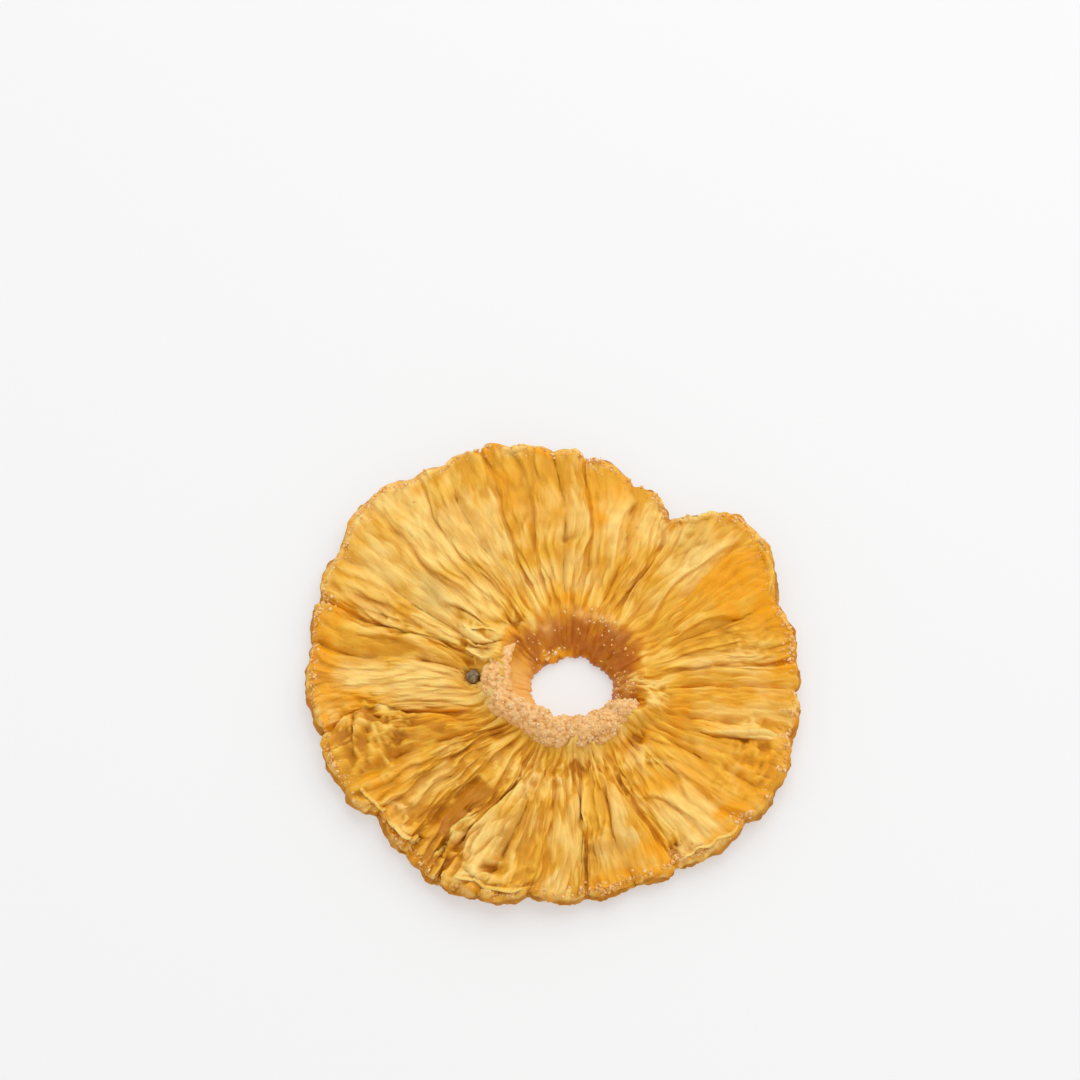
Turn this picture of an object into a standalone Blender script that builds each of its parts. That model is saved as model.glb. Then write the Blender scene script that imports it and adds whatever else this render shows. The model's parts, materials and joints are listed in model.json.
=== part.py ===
"""One dried pineapple ring, lying flat: a pleated, wavy disc of flesh round the raised collar of its core.

Run it with: blender --background --python part.py
Metres, +Z up. The origin is the middle of the ring's footprint, on the surface that it lies on.
"""

import bpy
import numpy as np

MM = 0.001
TAU = 2 * np.pi
SEED = 11
ROUNDING = 1e-9

# Plan of the ring, in millimetres. Directions are seen from a pole inside the hole, and the hole's own middle lies a
# little behind the pole
RING_RADIUS = 39.7
POLE_FROM_CENTRE = (3.4, -4.0)
HOLE_RADIUS = 6.1
HOLE_BACK = 0.9
HOLE_WIDER = 0.45
HOLE_WAVES = 5
HOLE_WAVE_HEIGHT = 0.25

# Levels of the top face above the surface, in millimetres, and how much of the way out each slope takes
LIP_LEVEL = 1.5
MOAT_LEVEL = 3.1
FUNNEL_LEVEL = 4.2
CROWN_LEVEL = 4.5
RIM_LEVEL = 4.4
CROWN_REACHED = 0.4
RIM_BEGINS = 0.65

# The core's collar, in millimetres: a lumpy rope in front, nearest to the hole there, a low shoulder at the right, and
# a wide bare funnel behind the hole
ROPE_SIDE_RADIUS = 12.0
ROPE_FRONT_RADIUS = 7.4
ROPE_FRONT_BEGINS = 0.05
ROPE_FRONT_FULL = 0.8
ROPE_HALF_WIDTH = 2.4
FUNNEL_CREST_RADIUS = 14.0
FUNNEL_EDGE_RADIUS = 12.6
SHOULDER_DEG = 5.0
SHOULDER_SPREAD_DEG = 18.0
SHOULDER_NEARER = 3.4
SHOULDER_RISE = 0.9
COLLAR_SPREAD = 2.13
ROPE_RISE = 3.9
FUNNEL_RISE = 0.6
ROPE_FROM_DEG = 152.0
ROPE_TO_DEG = 352.0
ROPE_FADE_DEG = 19.0
LUMPS = 13
LUMPS_LONG = 7
LUMP_HEIGHT = 0.45
LUMP_INTO_HOLE = 0.15

# Folds, in millimetres. A sharpness above 1 keeps the crests broad and the valleys narrow
LOBE_BULGE = 0.9
CREASE_SHARPNESS = 2.4
CREASE_FULL = 0.35
PLEAT_DEG = 5.0
PLEAT_HEIGHT = 0.65
PLEAT_UNEVENNESS = 0.35
PLEAT_SHARPNESS = 1.5
PLEAT_FULL = 0.12
PLEAT_FADES_FROM = 0.82
PLEAT_FADES_BY = 0.45
LIFT_SHARPNESS = 1.6
BEND_DEG = 2.6

# The underside, in millimetres: flat under the collar, and outside it a weaker copy of the folds
FOOT_OUTER_RADIUS = 11.5
FOOT_FADE = 4.0
UNDERSIDE_SHARE = 0.45
UNDERSIDE_SAG = 0.15

# The section is a slab with rounded edges: its squareness would be 1 in an ellipse and 0 in a square, and its faces
# are full where the rounding would have passed them by this factor
SECTION_SQUARENESS = 0.24
SECTION_FULLNESS = 1.25
SECTION_POINTS = 34
COLUMNS_PER_PLEAT = 2
TORUS_RADIUS = 1.0

# Each row is a crease that runs out from the collar: its direction seen from the pole in degrees, how far the
# outline there stands out from the round, how deep the crease is, and how far the rim is lifted off the surface
CREASES = (
    (0.0, 0.1, 0.9, 0.5),
    (8.0, -0.1, 1.1, 0.6),
    (23.0, -0.9, 0.9, 1.2),
    (41.0, 1.6, 0.6, 2.0),
    (62.0, -6.6, 1.5, 0.0),
    (73.5, -4.2, 1.3, 0.2),
    (86.0, -2.3, 0.8, 0.9),
    (94.0, -1.8, 0.7, 1.2),
    (103.0, -0.4, 0.9, 1.4),
    (110.0, 0.3, 0.6, 1.2),
    (118.0, 0.1, 0.7, 0.9),
    (125.0, 0.6, 0.6, 0.8),
    (136.0, 2.4, 0.8, 1.3),
    (148.0, 0.6, 0.9, 0.7),
    (159.0, -0.2, 1.0, 0.3),
    (169.0, -0.4, 1.7, 0.0),
    (191.0, -1.0, 2.0, 0.9),
    (204.0, -0.6, 1.6, 0.5),
    (213.0, -2.6, 1.0, 0.0),
    (225.0, -1.3, 1.3, 0.0),
    (237.0, 0.5, 1.8, 0.3),
    (247.0, 0.4, 1.2, 0.8),
    (258.5, -1.2, 1.1, 0.9),
    (274.0, -0.9, 1.4, 0.3),
    (287.0, -1.2, 1.0, 0.0),
    (299.0, -0.7, 1.2, 0.0),
    (322.0, 1.0, 0.8, 0.4),
    (332.0, 1.8, 0.9, 0.8),
    (347.0, 0.8, 1.3, 0.5),
)
CREASE_DEG, CREASE_REACH, CREASE_DEPTH, CREASE_LIFT = np.array(CREASES).T
CREASE_ANGLE = np.radians(CREASE_DEG)


def smooth(low, high, value):
    """0 below low, 1 above high, and an S curve between them."""
    share = np.clip((value - low) / (high - low), 0, 1)
    return share * share * (3 - 2 * share)


def across(angle, borders):
    """The strip between two neighbouring borders that an angle lies in, and how far across the strip it is."""
    edges = np.append(borders, borders[0] + TAU) - borders[0]
    turn = np.mod(angle - borders[0], TAU)
    strip = np.clip(np.searchsorted(edges, turn + ROUNDING, side="right") - 1, 0, len(borders) - 1)
    return strip, np.clip((turn - edges[strip]) / (edges[strip + 1] - edges[strip]), 0, 1)


def between(values, strip, share):
    """A value that goes smoothly from one border's to the next one's."""
    blend = smooth(0, 1, share)
    return values[strip] * (1 - blend) + values[(strip + 1) % len(values)] * blend


def pleat_borders():
    """Where the fine pleats meet, and each pleat's size: a lobe is cut into uneven pleats of about PLEAT_DEG."""
    draw = np.random.default_rng(SEED)
    widths = np.diff(np.append(CREASE_ANGLE, CREASE_ANGLE[0] + TAU))
    borders = []
    for start, width in zip(CREASE_ANGLE, widths):
        count = max(1, round(width / np.radians(PLEAT_DEG)))
        sizes = 1 + PLEAT_UNEVENNESS * draw.uniform(-1, 1, count)
        ends = np.cumsum(sizes) / sizes.sum()
        borders += [start + width * end for end in (0, *ends[:-1])]
    return np.array(borders), draw.uniform(1 - PLEAT_UNEVENNESS, 1 + PLEAT_UNEVENNESS, len(borders))


PLEAT_BORDER, PLEAT_SIZE = pleat_borders()


def outline(angle):
    """Distance from the pole to the rim: an eccentric circle, drawn in at the creases and full between."""
    side = POLE_FROM_CENTRE
    along = -side[0] * np.cos(angle) - side[1] * np.sin(angle)
    beside = side[1] * np.cos(angle) - side[0] * np.sin(angle)
    lobe, share = across(angle, CREASE_ANGLE)
    reach = between(CREASE_REACH, lobe, share)
    return along + np.sqrt(RING_RADIUS**2 - beside**2) + reach + LOBE_BULGE * np.sin(np.pi * share)


def rope(angle):
    """1 where the collar is a raised rope, and 0 behind the hole, where it is a bare funnel."""
    turn = np.degrees(np.mod(angle, TAU))
    rising = smooth(ROPE_FROM_DEG - ROPE_FADE_DEG, ROPE_FROM_DEG + ROPE_FADE_DEG, turn)
    falling = smooth(ROPE_TO_DEG - ROPE_FADE_DEG, ROPE_TO_DEG, turn)
    return rising * (1 - falling)


def rope_radius(angle):
    """The rope's distance from the pole: near in front, and further out at the sides."""
    front = smooth(ROPE_FRONT_BEGINS, ROPE_FRONT_FULL, -np.sin(angle))
    return ROPE_SIDE_RADIUS - (ROPE_SIDE_RADIUS - ROPE_FRONT_RADIUS) * front


def shoulder(angle):
    """1 at the middle of the low shoulder at the right of the hole, falling to 0 on both sides."""
    turn = np.mod(np.degrees(angle) - SHOULDER_DEG + 180, 360) - 180
    return np.exp(-((turn / SHOULDER_SPREAD_DEG) ** 2))


def crest_radius(angle):
    """Where the collar is highest: on the rope's line, and further out round the funnel."""
    raised = rope(angle)
    bare = FUNNEL_CREST_RADIUS - SHOULDER_NEARER * shoulder(angle)
    return rope_radius(angle) * raised + bare * (1 - raised)


def collar_edge(angle):
    """Where the collar ends and the folded flesh begins."""
    raised = rope(angle)
    return (rope_radius(angle) + ROPE_HALF_WIDTH) * raised + FUNNEL_EDGE_RADIUS * (1 - raised)


def lump(angle):
    """The uneven lumps along the collar, from -1 to 1: short waves on longer ones."""
    return 0.6 * np.sin(LUMPS * angle + 0.7) + 0.4 * np.sin(LUMPS_LONG * angle + 2.1)


def hole_edge(angle):
    """The hole's edge: a circle moved back and widened, a little uneven, and nearer where a lump leans into it."""
    plan = HOLE_RADIUS + HOLE_BACK * np.sin(angle) + HOLE_WIDER * np.cos(2 * angle)
    return plan + HOLE_WAVE_HEIGHT * np.sin(HOLE_WAVES * angle + 0.4) - LUMP_INTO_HOLE * lump(angle)


def bend(angle, outward):
    """How far a pleat swings sideways on its way out, because the fibres aren't quite straight."""
    sway = np.sin(3 * angle + 0.8) * np.sin(np.pi * outward) + 0.5 * np.sin(8 * angle) * np.sin(TAU * outward)
    return np.radians(BEND_DEG) * sway


def top_base(radius, angle, outward):
    """The top face without its folds: lip, collar, moat, crown and rim, from the hole outwards."""
    raised = rope(angle)
    foot = MOAT_LEVEL * raised + FUNNEL_LEVEL * (1 - raised)
    flesh = foot + (CROWN_LEVEL - foot) * smooth(0, CROWN_REACHED, outward)
    flesh = flesh - (CROWN_LEVEL - RIM_LEVEL) * smooth(RIM_BEGINS, 1, outward)
    bare_rise = FUNNEL_RISE + SHOULDER_RISE * shoulder(angle)
    rise = ROPE_RISE * raised + bare_rise * (1 - raised) + LUMP_HEIGHT * raised * lump(angle)
    crest = crest_radius(angle)
    level = flesh + rise * np.exp(-(((radius - crest) / COLLAR_SPREAD) ** 2))
    inner = hole_edge(angle)
    inside = np.clip((radius - inner) / (crest - inner), 0, 1)
    round_wall = np.sqrt(1 - (1 - inside) ** 2)
    sloping_wall = inside * (2 - inside)
    wall = raised * round_wall + (1 - raised) * sloping_wall
    return LIP_LEVEL + (level - LIP_LEVEL) * wall


def folds(angle, outward):
    """How far the creases and pleats go below the lobes' crests, as a positive depth."""
    lobe, share = across(angle, CREASE_ANGLE)
    nearest = np.where(share < 0.5, CREASE_DEPTH[lobe], CREASE_DEPTH[(lobe + 1) % len(CREASE_DEPTH)])
    crease = nearest * np.abs(2 * share - 1) ** CREASE_SHARPNESS * smooth(0, CREASE_FULL, outward)
    pleat, share = across(angle, PLEAT_BORDER)
    taper = smooth(0, PLEAT_FULL, outward) * (1 - PLEAT_FADES_BY * smooth(PLEAT_FADES_FROM, 1, outward))
    return crease + PLEAT_HEIGHT * PLEAT_SIZE[pleat] * np.abs(2 * share - 1) ** PLEAT_SHARPNESS * taper


def rim_lift(angle, outward):
    """How far the waves of the drying flesh lift it off the surface."""
    lobe, share = across(angle, CREASE_ANGLE)
    return between(CREASE_LIFT, lobe, share) * outward**LIFT_SHARPNESS


def place(angle, phase):
    """A point of the ring. angle goes round the pole, and phase round the section: 0 at the rim, a quarter turn at
    the top, half a turn at the hole and three quarters underneath."""
    share = 0.5 + 0.5 * np.cos(phase)
    rounding = np.abs(np.sin(phase)) ** SECTION_SQUARENESS
    side = np.sign(np.sin(phase)) * np.minimum(1, SECTION_FULLNESS * rounding)
    inner = hole_edge(angle)
    outer = outline(angle)
    radius = inner + share * (outer - inner)
    begins = collar_edge(angle)
    outward = np.clip((radius - begins) / (outer - begins), 0, 1)
    depth = folds(angle, outward)
    lift = rim_lift(angle, outward)
    free = smooth(FOOT_OUTER_RADIUS, FOOT_OUTER_RADIUS + FOOT_FADE, radius)
    top = top_base(radius, angle, outward) + lift - depth
    bottom = np.maximum(0, free * (lift + UNDERSIDE_SHARE * depth - UNDERSIDE_SAG))
    height = bottom + (top - bottom) * (0.5 + 0.5 * side)
    turned = angle + bend(angle, outward)
    x = POLE_FROM_CENTRE[0] + radius * np.cos(turned)
    y = POLE_FROM_CENTRE[1] + radius * np.sin(turned)
    return np.stack((x, y, height), axis=-1)


def column_angles():
    """The directions of the mesh's columns: one in each pleat's valley, and the rest spread over its crest."""
    widths = np.diff(np.append(PLEAT_BORDER, PLEAT_BORDER[0] + TAU))
    steps = np.arange(COLUMNS_PER_PLEAT) / COLUMNS_PER_PLEAT
    return (PLEAT_BORDER[:, None] + widths[:, None] * steps).ravel()


def clear_scene():
    for old in list(bpy.data.objects):
        bpy.data.objects.remove(old)


def flesh_material():
    material = bpy.data.materials.new("dried_pineapple")
    material.use_nodes = True
    shader = material.node_tree.nodes["Principled BSDF"]
    shader.inputs["Base Color"].default_value = (0.80, 0.47, 0.09, 1)
    shader.inputs["Roughness"].default_value = 0.5
    shader.inputs["Metallic"].default_value = 0.0
    return material


def pineapple_ring(collection):
    """A torus whose columns and section points are moved to their places on the ring."""
    columns = column_angles()
    bpy.ops.mesh.primitive_torus_add(
        major_radius=TORUS_RADIUS, major_segments=len(columns), minor_segments=SECTION_POINTS
    )
    ring = bpy.context.object
    ring.name = "pineapple_ring"
    mesh = ring.data
    mesh.name = "pineapple_ring"
    spot = np.empty(len(mesh.vertices) * 3)
    mesh.vertices.foreach_get("co", spot)
    x, y, z = spot.reshape(-1, 3).T
    column = np.round(np.arctan2(y, x) / TAU * len(columns)).astype(int) % len(columns)
    phase = np.arctan2(z, np.hypot(x, y) - TORUS_RADIUS)
    placed = place(columns[column], phase)
    middle = (placed[:, :2].min(axis=0) + placed[:, :2].max(axis=0)) / 2
    placed[:, :2] -= middle
    mesh.vertices.foreach_set("co", (placed * MM).ravel())
    mesh.update()
    mesh.shade_smooth()
    mesh.materials.append(flesh_material())
    for old in list(ring.users_collection):
        old.objects.unlink(ring)
    collection.objects.link(ring)
    return ring


def main():
    clear_scene()
    collection = bpy.data.collections.new("dried_pineapple_ring")
    bpy.context.scene.collection.children.link(collection)
    pineapple_ring(collection)


if __name__ == "__main__":
    main()
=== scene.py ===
"""The looks of one dried pineapple ring, lying on a pale floor.

The flesh is pleated and fibrous, the core's collar is a rope of grains, and thin flaps, crumbs, sugar grains
and a pip lie on them. The shapes are worked out in millimetres, as the solid's are.
"""

import json

import bpy
import numpy as np
from bpy.props import FloatProperty, FloatVectorProperty, IntProperty, PointerProperty
from mathutils import Matrix, Quaternion, Vector


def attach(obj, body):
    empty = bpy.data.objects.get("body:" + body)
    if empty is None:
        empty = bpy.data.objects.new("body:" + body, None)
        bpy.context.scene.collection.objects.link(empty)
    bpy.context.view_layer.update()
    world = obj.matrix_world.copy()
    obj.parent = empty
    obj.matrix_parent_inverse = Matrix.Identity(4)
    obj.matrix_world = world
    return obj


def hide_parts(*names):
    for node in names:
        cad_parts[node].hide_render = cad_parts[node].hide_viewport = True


bl_info = {
    "name": "Dried Pineapple Ring",
    "version": (1, 0, 0),
    "blender": (4, 5, 0),
    "location": "View3D > Sidebar > Pineapple",
    "description": "Builds a dried pineapple ring: flesh, core collar, rim flaps, crumbs, grains and a pip",
    "category": "Add Mesh",
}

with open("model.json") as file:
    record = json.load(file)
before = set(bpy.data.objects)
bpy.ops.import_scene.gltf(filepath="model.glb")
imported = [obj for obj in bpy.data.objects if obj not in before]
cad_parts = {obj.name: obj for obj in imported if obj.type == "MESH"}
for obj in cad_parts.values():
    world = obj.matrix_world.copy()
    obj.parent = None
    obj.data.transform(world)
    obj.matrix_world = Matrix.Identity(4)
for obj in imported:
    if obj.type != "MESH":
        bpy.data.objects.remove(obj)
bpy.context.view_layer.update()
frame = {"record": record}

MM = 0.001
TAU = 2 * np.pi
ROUNDING = 1e-9

# What the mesh stores for the flesh's finish
LOOKS = ("relief", "straw", "amber", "brown", "grey", "gloss", "peach", "fibrous", "toffee_and_shade")

# Plan and levels of the solid, in millimetres. Directions are seen from a pole inside the hole
RING_RADIUS = 39.7
POLE_FROM_CENTRE = (3.4, -4.0)
HOLE_RADIUS = 6.1
HOLE_BACK = 0.9
HOLE_WIDER = 0.45
HOLE_WAVES = 5
HOLE_WAVE_HEIGHT = 0.25
LIP_LEVEL = 1.5
MOAT_LEVEL = 3.1
FUNNEL_LEVEL = 4.2
CROWN_LEVEL = 4.5
RIM_LEVEL = 4.4
CROWN_REACHED = 0.4
RIM_BEGINS = 0.65
ROPE_SIDE_RADIUS = 12.0
ROPE_FRONT_RADIUS = 7.4
ROPE_FRONT_BEGINS = 0.05
ROPE_FRONT_FULL = 0.8
ROPE_HALF_WIDTH = 2.4
FUNNEL_CREST_RADIUS = 14.0
FUNNEL_EDGE_RADIUS = 12.6
SHOULDER_DEG = 5.0
SHOULDER_SPREAD_DEG = 18.0
SHOULDER_NEARER = 3.4
SHOULDER_RISE = 0.9
COLLAR_SPREAD = 2.13
ROPE_RISE = 3.9
FUNNEL_RISE = 0.6
ROPE_FROM_DEG = 152.0
ROPE_TO_DEG = 352.0
ROPE_FADE_DEG = 19.0
LUMPS = 13
LUMPS_LONG = 7
LUMP_INTO_HOLE = 0.15

# Folds and underside of the solid, in millimetres
PLEAT_SEED = 11
LOBE_BULGE = 0.9
CREASE_SHARPNESS = 2.4
CREASE_FULL = 0.35
PLEAT_DEG = 5.0
PLEAT_HEIGHT = 0.65
PLEAT_UNEVENNESS = 0.35
PLEAT_SHARPNESS = 1.5
PLEAT_FULL = 0.12
PLEAT_FADES_FROM = 0.82
PLEAT_FADES_BY = 0.45
LIFT_SHARPNESS = 1.6
BEND_DEG = 2.6
FOOT_OUTER_RADIUS = 11.5
FOOT_FADE = 4.0
UNDERSIDE_SHARE = 0.45
UNDERSIDE_SAG = 0.15

# The visible surface's own sizes, in millimetres, with directions, spreads and swings in degrees
RIM_ROUND = 1.7
LIP_ROUND = 0.75
THINNEST = 0.6
FLESH_UNDER_COLLAR = 1.1
LOBE_LEAN = 1.5
CHUNKY_DEG = 224.0
CHUNKY_SPREAD_DEG = 30.0
SWAY_DEG = 2.2
SWING_DEG = 0.9
SLIT_WIDTH = 0.45
CREASE_SHADE_WIDTH = 0.7
CLIMB_HEIGHT = 1.25
FLUTE_DEPTH = 0.5
RIM_RAGGED = 0.5
RIM_CURL = 0.5
GRAIN_WIDTH = 30.0

# Bowls, patches of colour and folds that stand out: how uneven, steep and wide they are
BOWL_UNEVENNESS = 0.9
BOWL_STEEPNESS = 5
PATCH_RAGGED = 2.2
PATCH_UNEVEN = 3.0
PATCH_STEEPNESS = 1.4
RIDGE_STRETCHES = 7
RIDGE_GENTLE_SIDE = 1.3
RIDGE_STEEP_SIDE = 0.45
RIDGE_STEEPNESS = 1.5
RIDGE_SHARE = 1.15
RIDGE_OVER = 0.9
RIDGE_FOOT_DEPTH = 0.4

# The collar's rope: from where to where it goes, its knob, its level and thickness, and how wide its lumps
# and its large, small and tiny grains are, each with its seed
COLLAR_FROM_DEG = 137.0
COLLAR_TO_DEG = 349.0
KNOB_DEG = 335.0
KNOB_SPREAD_DEG = 9.0
ROPE_LEVEL = 4.25
ROPE_THICKNESS = 2.35
ROPE_GRAINS = ((3.1, 24), (1.15, 21), (0.66, 22), (0.36, 23))

# Flaps: steps along and up each, how deep they stand in the flesh and half of how thick they are
FLAP_STEPS = 60
FLAP_RISE = 8
FLAP_SUNK = 0.45
FLAP_HALF_THICKNESS = 0.22

# The loose grains: how many spots on the rope are tried, and the height from which they are kept. Then
# distances from the pole with their spreads on the funnel, directions with their spread on its lip, and the
# lowest height
ROPE_TRIES = 9000
ROPE_TOP_FROM = 4.4
FUNNEL_GRAINS = ((13.1, 0.6), (9.8, 0.8), (10.9, 1.0))
LIP_GRAINS_DEG = (113, 4)
LIP_GRAINS_SPREAD_DEG = 15
LOWEST_BIT = 0.02
GRAINS_SEED = 31
CRUMBS_SEED = 41

# The pip: its points, its place, how it is turned out of the upright, and how far it sinks into the fold
PIP_ROWS = 24
PIP_COLUMNS = 28
PIP_DEG = 171.0
PIP_RADIUS = 16.9
PIP_AXIS = (0.25, 1, 0)
PIP_TURN_DEG = 28
PIP_SUNK = 0.35

# The noises: rows of a weave, how narrow its valleys are, and the grains' cells and reach
WEAVE_ROWS = 128
VALLEY = 0.26
GRAIN_CELLS = 32
GRAIN_REACH = 0.75

# The finishes' noises: how ribs and veins are drawn out and how fast ribs rise, and the scales, along the
# grain for the first two and over the object's own coordinates in metres for the others
RIB_STRETCH = (1.0, 1.0, 0.19)
THREAD_STRETCH = (1.0, 1.0, 0.2)
VEIN_STRETCH = (1.0, 1.0, 0.3)
RIB_RISE = 5.0
RIB_SCALE = 0.78
THREAD_SCALE = 2.0
FLECK_SCALE = 420.0
PORE_SCALE = 1500.0
CORE_FLECK_SCALE = 700.0
CORE_PORE_SCALE = 2400.0
VEIN_SCALE = 2600.0
HAZE_SCALE = 6.0

# Lobes of flesh, each from its crease to the next. First the crease's direction in degrees, how far the
# outline there stands out from the round, how deep the crease is and how far the rim is lifted, in
# millimetres. Then the lobe's looks from 0 to 1: straw paleness, amber glow, brown stain, grey glassiness and
# smoothness. Last which way and how much it leans
LOBES = (
    (0, 0.1, 0.9, 0.5, 0.7, 0.2, 0, 0, 0.1, 0.3),
    (8, -0.1, 1.1, 0.6, 0.2, 0.5, 0.1, 0, 0, -0.5),
    (23, -0.9, 0.9, 1.2, 0, 1, 0, 0, 0.5, 0.6),
    (41, 1.6, 0.6, 2, 0.4, 0.1, 0.1, 0.2, 0.6, 0.8),
    (62, -6.6, 1.5, 0, 0.4, 0.3, 0, 0, 0.3, -0.4),
    (73.5, -4.2, 1.3, 0.2, 0.6, 0.3, 0, 0.1, 0.8, 0.5),
    (86, -2.3, 0.8, 0.9, 0.6, 0.3, 0, 0, 0.2, -0.6),
    (94, -1.8, 0.7, 1.2, 0.4, 0.4, 0, 0, 0.3, 0.4),
    (103, -0.4, 0.9, 1.4, 0.4, 0.4, 0.1, 0.1, 0.1, 0.5),
    (110, 0.3, 0.6, 1.2, 0.5, 0.2, 0, 0.1, 0, -0.4),
    (118, 0.1, 0.7, 0.9, 0.6, 0.1, 0, 0.2, 0, 0.6),
    (125, 0.6, 0.6, 0.8, 0.8, 0.1, 0, 0.2, 0.3, 0.4),
    (136, 2.4, 0.8, 1.3, 0.8, 0, 0, 0.7, 0.5, -0.5),
    (148, 0.6, 0.9, 0.7, 0.6, 0.1, 0.2, 0.5, 0.2, 0.6),
    (159, -0.2, 1, 0.3, 0.2, 0.4, 0.4, 0, 0.1, -0.8),
    (169, -0.4, 1.7, 0, 1, 0, 0, 0, 0.2, 0.5),
    (191, -1, 2, 0.9, 0.1, 0.4, 0.8, 0.2, 0.1, -0.8),
    (204, -0.6, 1.6, 0.5, 0.4, 0.3, 0, 0, 0, 0.8),
    (213, -2.6, 1, 0, 0.4, 0.2, 0.1, 0.1, 0, 0.6),
    (225, -1.3, 1.3, 0, 0.1, 0.5, 0.5, 0.1, 0.2, 0.9),
    (237, 0.5, 1.8, 0.3, 0.6, 0.1, 0.2, 0.3, 0.1, -0.6),
    (247, 0.4, 1.2, 0.8, 0.2, 0.4, 0.3, 0.1, 0, 0.4),
    (258.5, -1.2, 1.1, 0.9, 0.7, 0.1, 0, 0, 0.2, 0.3),
    (274, -0.9, 1.4, 0.3, 0.2, 0.4, 0.1, 0.6, 0.4, -0.6),
    (287, -1.2, 1, 0, 0.4, 0.6, 0, 0.1, 0.6, 0.5),
    (299, -0.7, 1.2, 0, 0.6, 0.2, 0, 0.1, 0.8, -0.7),
    (322, 1, 0.8, 0.4, 0.2, 0.8, 0, 0, 0.7, -0.4),
    (332, 1.8, 0.9, 0.8, 0.1, 0.8, 0.2, 0, 0.6, 0.5),
    (347, 0.8, 1.3, 0.5, 0.7, 0.2, 0, 0, 0.5, 0.4),
)
(
    CREASE_DEG, CREASE_REACH, CREASE_DEPTH, CREASE_LIFT,
    LOBE_STRAW, LOBE_AMBER, LOBE_BROWN, LOBE_GREY, LOBE_SMOOTH, LOBE_LEANS,
) = np.array(LOBES).T
CREASE_ANGLE = np.radians(CREASE_DEG)
LOBE_WIDTH = np.diff(np.append(CREASE_ANGLE, CREASE_ANGLE[0] + TAU))

# Pits in the flesh: direction in degrees, distance from the pole, radius and depth in millimetres
PITS = (
    (62, 35, 0.8, 0.8),
    (73, 38.2, 0.8, 0.6),
    (93.5, 26.5, 0.7, 0.8),
    (128, 14.6, 1.1, 1.2),
    (153.5, 15.6, 0.7, 0.7),
    (163.5, 17.6, 0.8, 0.9),
    (171, 16.6, 1.5, 1.3),
    (201, 29.5, 0.8, 1.3),
    (197, 33.5, 0.7, 1),
    (231.5, 33.5, 1.1, 1.1),
    (229, 26.5, 0.7, 0.9),
    (245.5, 32.6, 0.8, 1.4),
    (257, 33.4, 0.8, 0.7),
    (275, 27, 0.7, 0.6),
    (301.5, 31.5, 0.8, 1.4),
    (322, 13.4, 1.1, 0.9),
    (336, 33, 0.6, 0.7),
    (339, 29.5, 0.5, 0.6),
)

# Places where the flesh is crumpled: direction in degrees, then distance from the pole, radius and height of
# the creases in millimetres
CRUMPLES = (
    (196.5, 33.5, 5.5, 1.2),
    (215, 35.5, 4, 0.7),
    (231, 31, 3.6, 0.9),
    (247, 34.5, 4.5, 0.9),
    (278, 24.5, 3, 0.6),
    (303, 32.5, 3, 0.6),
    (337, 31.5, 4, 0.8),
    (152, 18.5, 3.6, 0.8),
    (158, 30, 3.5, 0.5),
    (128, 16, 2.5, 0.5),
    (62, 33.5, 3.5, 0.6),
    (14, 30, 3, 0.5),
    (355, 13.5, 2.6, 0.8),
    (2, 10.2, 2.4, 0.7),
    (207, 19, 4, 0.5),
    (222, 19.5, 4, 0.5),
    (241, 17, 4, 0.6),
    (262, 14.5, 3.5, 0.6),
    (286, 14.5, 3, 0.5),
    (306, 17, 3.5, 0.55),
)
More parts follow.
